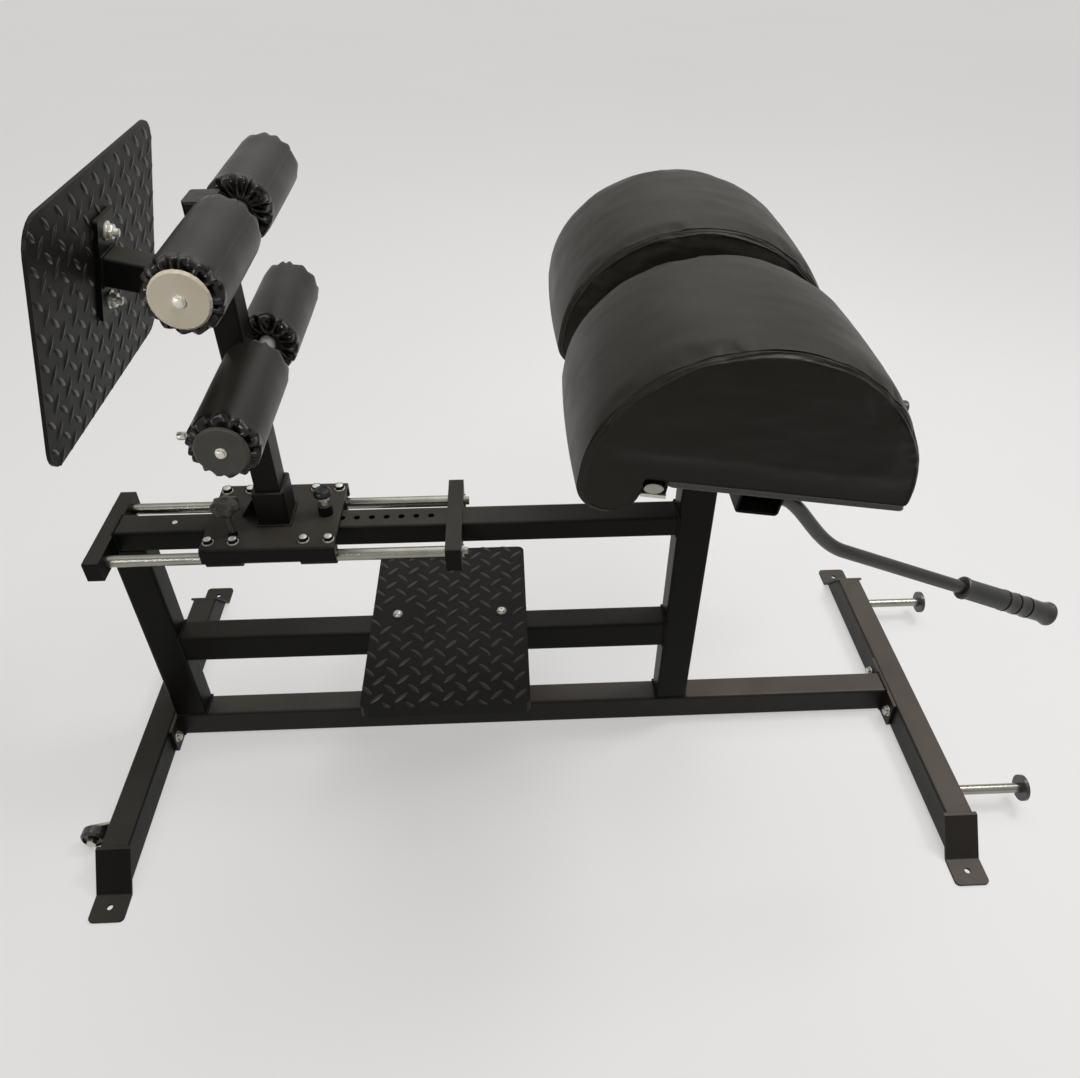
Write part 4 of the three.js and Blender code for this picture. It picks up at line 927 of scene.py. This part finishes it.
for name, side in SIDES:
    start = in_pads(HANDLE_START[0], side * HANDLE_Y, HANDLE_START[1])
    bend = start + HANDLE_BEND * MM
    end = bend + HANDLE_OUT * ((HANDLE_STRAIGHT + GRIP_LONG - GRIP_OVERHANG) * MM)
    pulls = start + TUBE_OUT * (BEND_PULLS[0] * MM), bend - HANDLE_OUT * (BEND_PULLS[1] * MM)
    path = [bezier(start, *pulls, bend, k / 40) for k in range(41)]
    path += [bend.lerp(end, k / 12) for k in range(1, 13)]
    form = [], []
    sweep(form, path, round_section(HANDLE_RADIUS, 28), up=Vector((0, 1, 0)))
    handle = piece(f"handle_bar_{name}", form, "handle_paint", "frame")
    sharpened(handle, 60)
    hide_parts(f"handle_{name}")
    form = [], []
    ring = round_section(HANDLE_RADIUS + 1, 40)
    collar = [start + (Vector((0, a, 0)) + PAD_UP * b + TUBE_OUT * 0.8) * MM for a, b in ring]
    sweep(form, collar, round_section(2.2, 8), True, up=TUBE_OUT)
    piece(f"weld_handle_{name}", form, "black_paint", "frame")

    profile = list(GRIP_START)
    for groove in GRIP_GROOVES:
        profile += [(15.2, groove - 5), (15.9, groove - 2.4), (15.7, groove - 1.5), (13.6, groove - 1.1),
                    (13.6, groove + 1.1), (15.7, groove + 1.5), (15.9, groove + 2.4), (15.2, groove + 5)]
    form = [], []
    spun(form, bend + HANDLE_OUT * (HANDLE_STRAIGHT * MM), HANDLE_OUT, profile + GRIP_END, 48,
         sleeve=True)
    grip = sharpened(piece(f"grip_{name}", form, "black_rubber", "frame"), 50)
    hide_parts(f"handle_grip_{name}")

    r = BOARD_CORNER
    (x0, x1), (y0, y1) = (BOARD_X[0] + r, BOARD_X[1] - r), (BOARD_Y[0] + r, BOARD_Y[1] - r)
    corners = []
    for cx, cy, turn in ((x1, y1, 0), (x0, y1, 90), (x0, y0, 180), (x1, y0, 270)):
        for k in range(6):
            angle = math.radians(turn + 18 * k)
            corners.append((cx + r * math.cos(angle), cy + r * math.sin(angle)))
    loop = [in_pads(x, side * y, BOARD_MIDDLE) for x, y in corners]
    if side < 0:
        loop.reverse()
    form = [], []
    sweep(form, loop, TRIM_BAND, True, up=PAD_UP)
    sharpened(piece(f"pad_board_trim_{name}", form, "board_trim", "frame"), 60)

# Post pin: a barrel on the post, a thin stem and a bright domed tip
form = [], []
spun(form, at(289, 0, 701), (-1, 0, 0), [
    (7.2, 0.4), (8, 1.2), (8, 31), (7.2, 34), (5.6, 34.4), (5.2, 37), (4, 37.6), (4, 86), (5.9, 86.4),
    (6.7, 87.4), (6.7, 97), (6, 99.2), (4, 100.4), (0.3, 100.8)], 28)
pin = steel("post_pin_turned", form, "foot_carriage")
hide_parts("post_pin")

# Front rod with its ends pressed flat, and the bare cut ends of the angle below it
ROD_X, ROD_DROP, ROD_STEPS = -166, 14.8, 32
# From an end inward: distance from the machine's middle, half width, half height, drop
stations = [(320.6, 11.6, 6.8, 5.0), (320, 12.7, 7.7, 5.0), (317, 13.3, 8.2, 4.8), (306, 13.2, 9.2, 3.6),
            (296, 13.1, 11.2, 1.6), (284, 13, 13, 0)]
stations = [(-y, a, b, drop) for y, a, b, drop in stations] + [
    (y, a, b, drop) for y, a, b, drop in reversed(stations)]
points = []
for y, a, b, drop in stations:
    for k in range(ROD_STEPS):
        turn = 2 * math.pi * k / ROD_STEPS
        points.append(in_pads(ROD_X + a * math.cos(turn), y, b * math.sin(turn) - ROD_DROP - drop))
faces = bands(0, len(stations), ROD_STEPS) + caps(0, (len(stations) - 1) * ROD_STEPS, ROD_STEPS)
rod = piece("front_rod_pressed", (points, faces), "chrome", "frame")
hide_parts("front_rod")


def extruded(form, outline, place, start, end, chamfer):
    """Adds a closed bar: an outline of (a, b) from start to end, broken at both ends by a chamfer."""
    points, faces = form
    first, count = len(points), len(outline)
    ma, mb = (sum(p[i] for p in outline) / count for i in (0, 1))
    for along, shrink in ((start, chamfer), (start + chamfer, 0), (end - chamfer, 0), (end, chamfer)):
        for a, b in outline:
            kept = 1 - shrink / math.hypot(a - ma, b - mb)
            points.append(place(ma + (a - ma) * kept, mb + (b - mb) * kept, along))
    faces += bands(first, 4, count) + caps(first, first + 3 * count, count)


ANGLE_END, LEAF_BACK, WEB_FACE, WEB_BACK = 305, -181.7, -152.7, -147.7
LEAF_BOTTOM, LEAF_TOP = -33.1, -28.1
for name, side in SIDES:
    def outward(a, b, along):
        return in_pads(a, side * along, b)
    form = [], []
    extruded(form, [
        (LEAF_BACK + 2, LEAF_BOTTOM), (WEB_BACK, LEAF_BOTTOM), (WEB_BACK, LEAF_TOP),
        (LEAF_BACK + 2, LEAF_TOP), (LEAF_BACK, LEAF_TOP - 2), (LEAF_BACK, LEAF_BOTTOM + 2),
    ], outward, ANGLE_END + 0.2, 320, 0.5)
    steel(f"angle_leaf_end_{name}", form, "frame")
    form = [], []
    extruded(form, [
        (WEB_FACE, LEAF_TOP + 0.2), (WEB_BACK, LEAF_TOP + 0.2), (WEB_BACK, -15),
        (WEB_BACK - 1, -14.6), (WEB_FACE, -14.6),
    ], outward, ANGLE_END + 0.2, 316, 0.5)
    sharpened(piece(f"angle_web_end_{name}", form, "black_paint", "frame"))

# Index pin: a steel collar and pin below a domed knob
PIN_X, COLLAR_BOTTOM = 395, 570.6
form = [], []
spun(form, at(PIN_X, 0, 0), up, [
    (3.6, 533.5), (5, 534.9), (5, COLLAR_BOTTOM), (8.6, COLLAR_BOTTOM), (9.5, COLLAR_BOTTOM + 0.9),
    (9.5, COLLAR_BOTTOM + 6), (8, COLLAR_BOTTOM + 7.4), (5, COLLAR_BOTTOM + 8)], 28)
pin = steel("index_pin_shaft", form, "index_pin")
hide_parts("index_pin")
form = [], []
knob = COLLAR_BOTTOM + 7.2
spun(form, at(PIN_X, 0, knob), up, [
    (7, 0), (11.5, 0.4), (14.2, 2.4), (15, 5), (15, 8), (14.1, 11), (11.8, 13.4), (10.4, 14.4), (9.4, 14.3),
    (8.4, 13.2), (6.5, 12.9), (3, 13.2), (0.3, 13.3)], 40)
piece("index_pin_knob", form, "black_plastic", "index_pin")

# Clamp knob: a lobed head on a steel screw
CLAMP_X, CLAMP_Y, CLAMP_KNOB = 252, -52, 594
LOBES, LOBE_DEEP = 7, 0.1
form = [], []
spun(form, at(CLAMP_X, CLAMP_Y, CLAMP_KNOB), up, [
    (8, -9), (10.5, -8.4), (12, -5), (14, -2), (20.5, -1), (23.4, 1.4), (24, 6), (23.6, 10.5), (21.6, 14),
    (17, 16.2), (9, 17.4), (6.4, 17.2), (5.8, 16), (3, 15.8), (0.3, 15.8)], 112,
    lambda turn, radius: 1 - LOBE_DEEP * smoothstep((radius - 12) / 9) * (1 - math.cos(LOBES * turn)))
piece("clamp_knob_head", form, "grey_plastic", "clamp_knob")
form = [], []
thread = [(4.1 if k % 2 else 3.5, 553 + THREAD_STEP * k) for k in range(36)]
spun(form, at(CLAMP_X, CLAMP_Y, 0), up,
     [(3.6, 536.2), (3.9, 537), (3.9, 552.5)] + thread + [(6.5, 581), (6.5, 591.5), (4, 592)], 24)
screw = sharpened(piece("clamp_knob_screw", form, "dark_steel", "clamp_knob"), 50)
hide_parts("clamp_knob")

# Floor, light and camera
FLOOR_HALF = 30.0
FLOOR_GLOW, FLOOR_BOUNCE = 0.5, tone(92, 90, 86)
WORLD_LIGHT, WORLD_SEEN = 0.08, 0.55
BACKDROP = shade(250, 3)
floor = bpy.data.meshes.new("floor")
floor.from_pydata([(x * FLOOR_HALF, y * FLOOR_HALF, 0) for x, y in ((-1, -1), (1, -1), (1, 1), (-1, 1))], [],
                  [(0, 1, 2, 3)])
floor_object = placed("floor", floor)
ground = Finish("pale_floor", 0.8, specular=0.1)


def seen(tree):
    """1 for camera, glossy and transmitted rays, 0 for light that is scattered."""
    path = tree.nodes.new("ShaderNodeLightPath")
    last = path.outputs["Is Camera Ray"]
    for key in ("Is Glossy Ray", "Is Transmission Ray"):
        node = tree.nodes.new("ShaderNodeMath")
        node.operation = "MAXIMUM"
        tree.links.new(last, node.inputs[0])
        tree.links.new(path.outputs[key], node.inputs[1])
        last = node.outputs["Value"]
    return last


rays = seen(ground.material.node_tree)
pale = ground.mottled(ground.noise(0.6, 3), shade(176, 2), shade(181, 2))
ground.color(ground.blended(rays, FLOOR_BOUNCE, pale))
ground.shader.inputs["Emission Color"].default_value = BACKDROP
ground.links.new(ground.combined(rays, FLOOR_GLOW, "MULTIPLY"), ground.shader.inputs["Emission Strength"])
floor.materials.append(ground.material)

world = bpy.data.worlds.new("studio")
bpy.context.scene.world = world
world.use_nodes = True
tree = world.node_tree
backdrop = tree.nodes["Background"]
backdrop.inputs["Color"].default_value = BACKDROP
scale = tree.nodes.new("ShaderNodeMapRange")
for key, number in (("To Min", WORLD_LIGHT), ("To Max", WORLD_SEEN)):
    scale.inputs[key].default_value = number
tree.links.new(seen(tree), scale.inputs["Value"])
tree.links.new(scale.outputs["Result"], backdrop.inputs["Strength"])


def lamp(name, place, target, size, power, spread=math.pi):
    """A rectangular lamp at a place in metres that looks at a target, its power in watts."""
    light = bpy.data.lights.new(name, "AREA")
    light.shape = "RECTANGLE"
    light.size, light.size_y = size
    light.energy = power
    light.spread = spread
    made = placed(name, light)
    made.location = place
    made.rotation_mode = "QUATERNION"
    made.rotation_quaternion = (Vector(target) - Vector(place)).to_track_quat("-Z", "Y")


lamp("overhead", (0.75, -0.45, 3.1), (0, -0.1, 0.6), (2.4, 0.6), 22)
lamp("far", (0.2, 2.4, 3.0), (0, 0, 0.6), (2.4, 1.4), 9)
lamp("key", (1.9, 0.6, 3.2), (0, 0, 0.6), (0.7, 0.7), 26)
lamp("front", (-1.9, -2.5, 1.9), (-0.44, -0.25, 1.0), (0.45, 0.45), 0.75, math.radians(24))
sun = bpy.data.lights.new("sky", "SUN")
sun.energy = 0.75
sun.angle = math.radians(60)
sky = placed("sky", sun)
sky.rotation_mode = "QUATERNION"
sky.rotation_quaternion = Vector((-0.1, -0.25, -1)).to_track_quat("-Z", "Y")

# The camera that was fitted to the photograph: its place is in the CAD source's millimetres
EYE, YAW, PITCH, LENS = (701.9, -1178.9, 1441.1), 0.0451, 0.68735, 29.12
camera = bpy.data.cameras.new("camera")
camera.lens = LENS
camera.sensor_width = 36
eye = placed("camera", camera)
ahead = Vector((math.sin(YAW) * math.cos(PITCH), math.cos(YAW) * math.cos(PITCH), -math.sin(PITCH)))
right = Vector((math.cos(YAW), -math.sin(YAW), 0))
above = right.cross(ahead)
turn = Matrix((right, above, -ahead)).transposed().to_4x4()
eye.matrix_world = Matrix.Translation(at(*EYE)) @ turn
camera.clip_end = 200
bpy.context.scene.camera = eye
bpy.context.scene.view_settings.view_transform = "Standard"
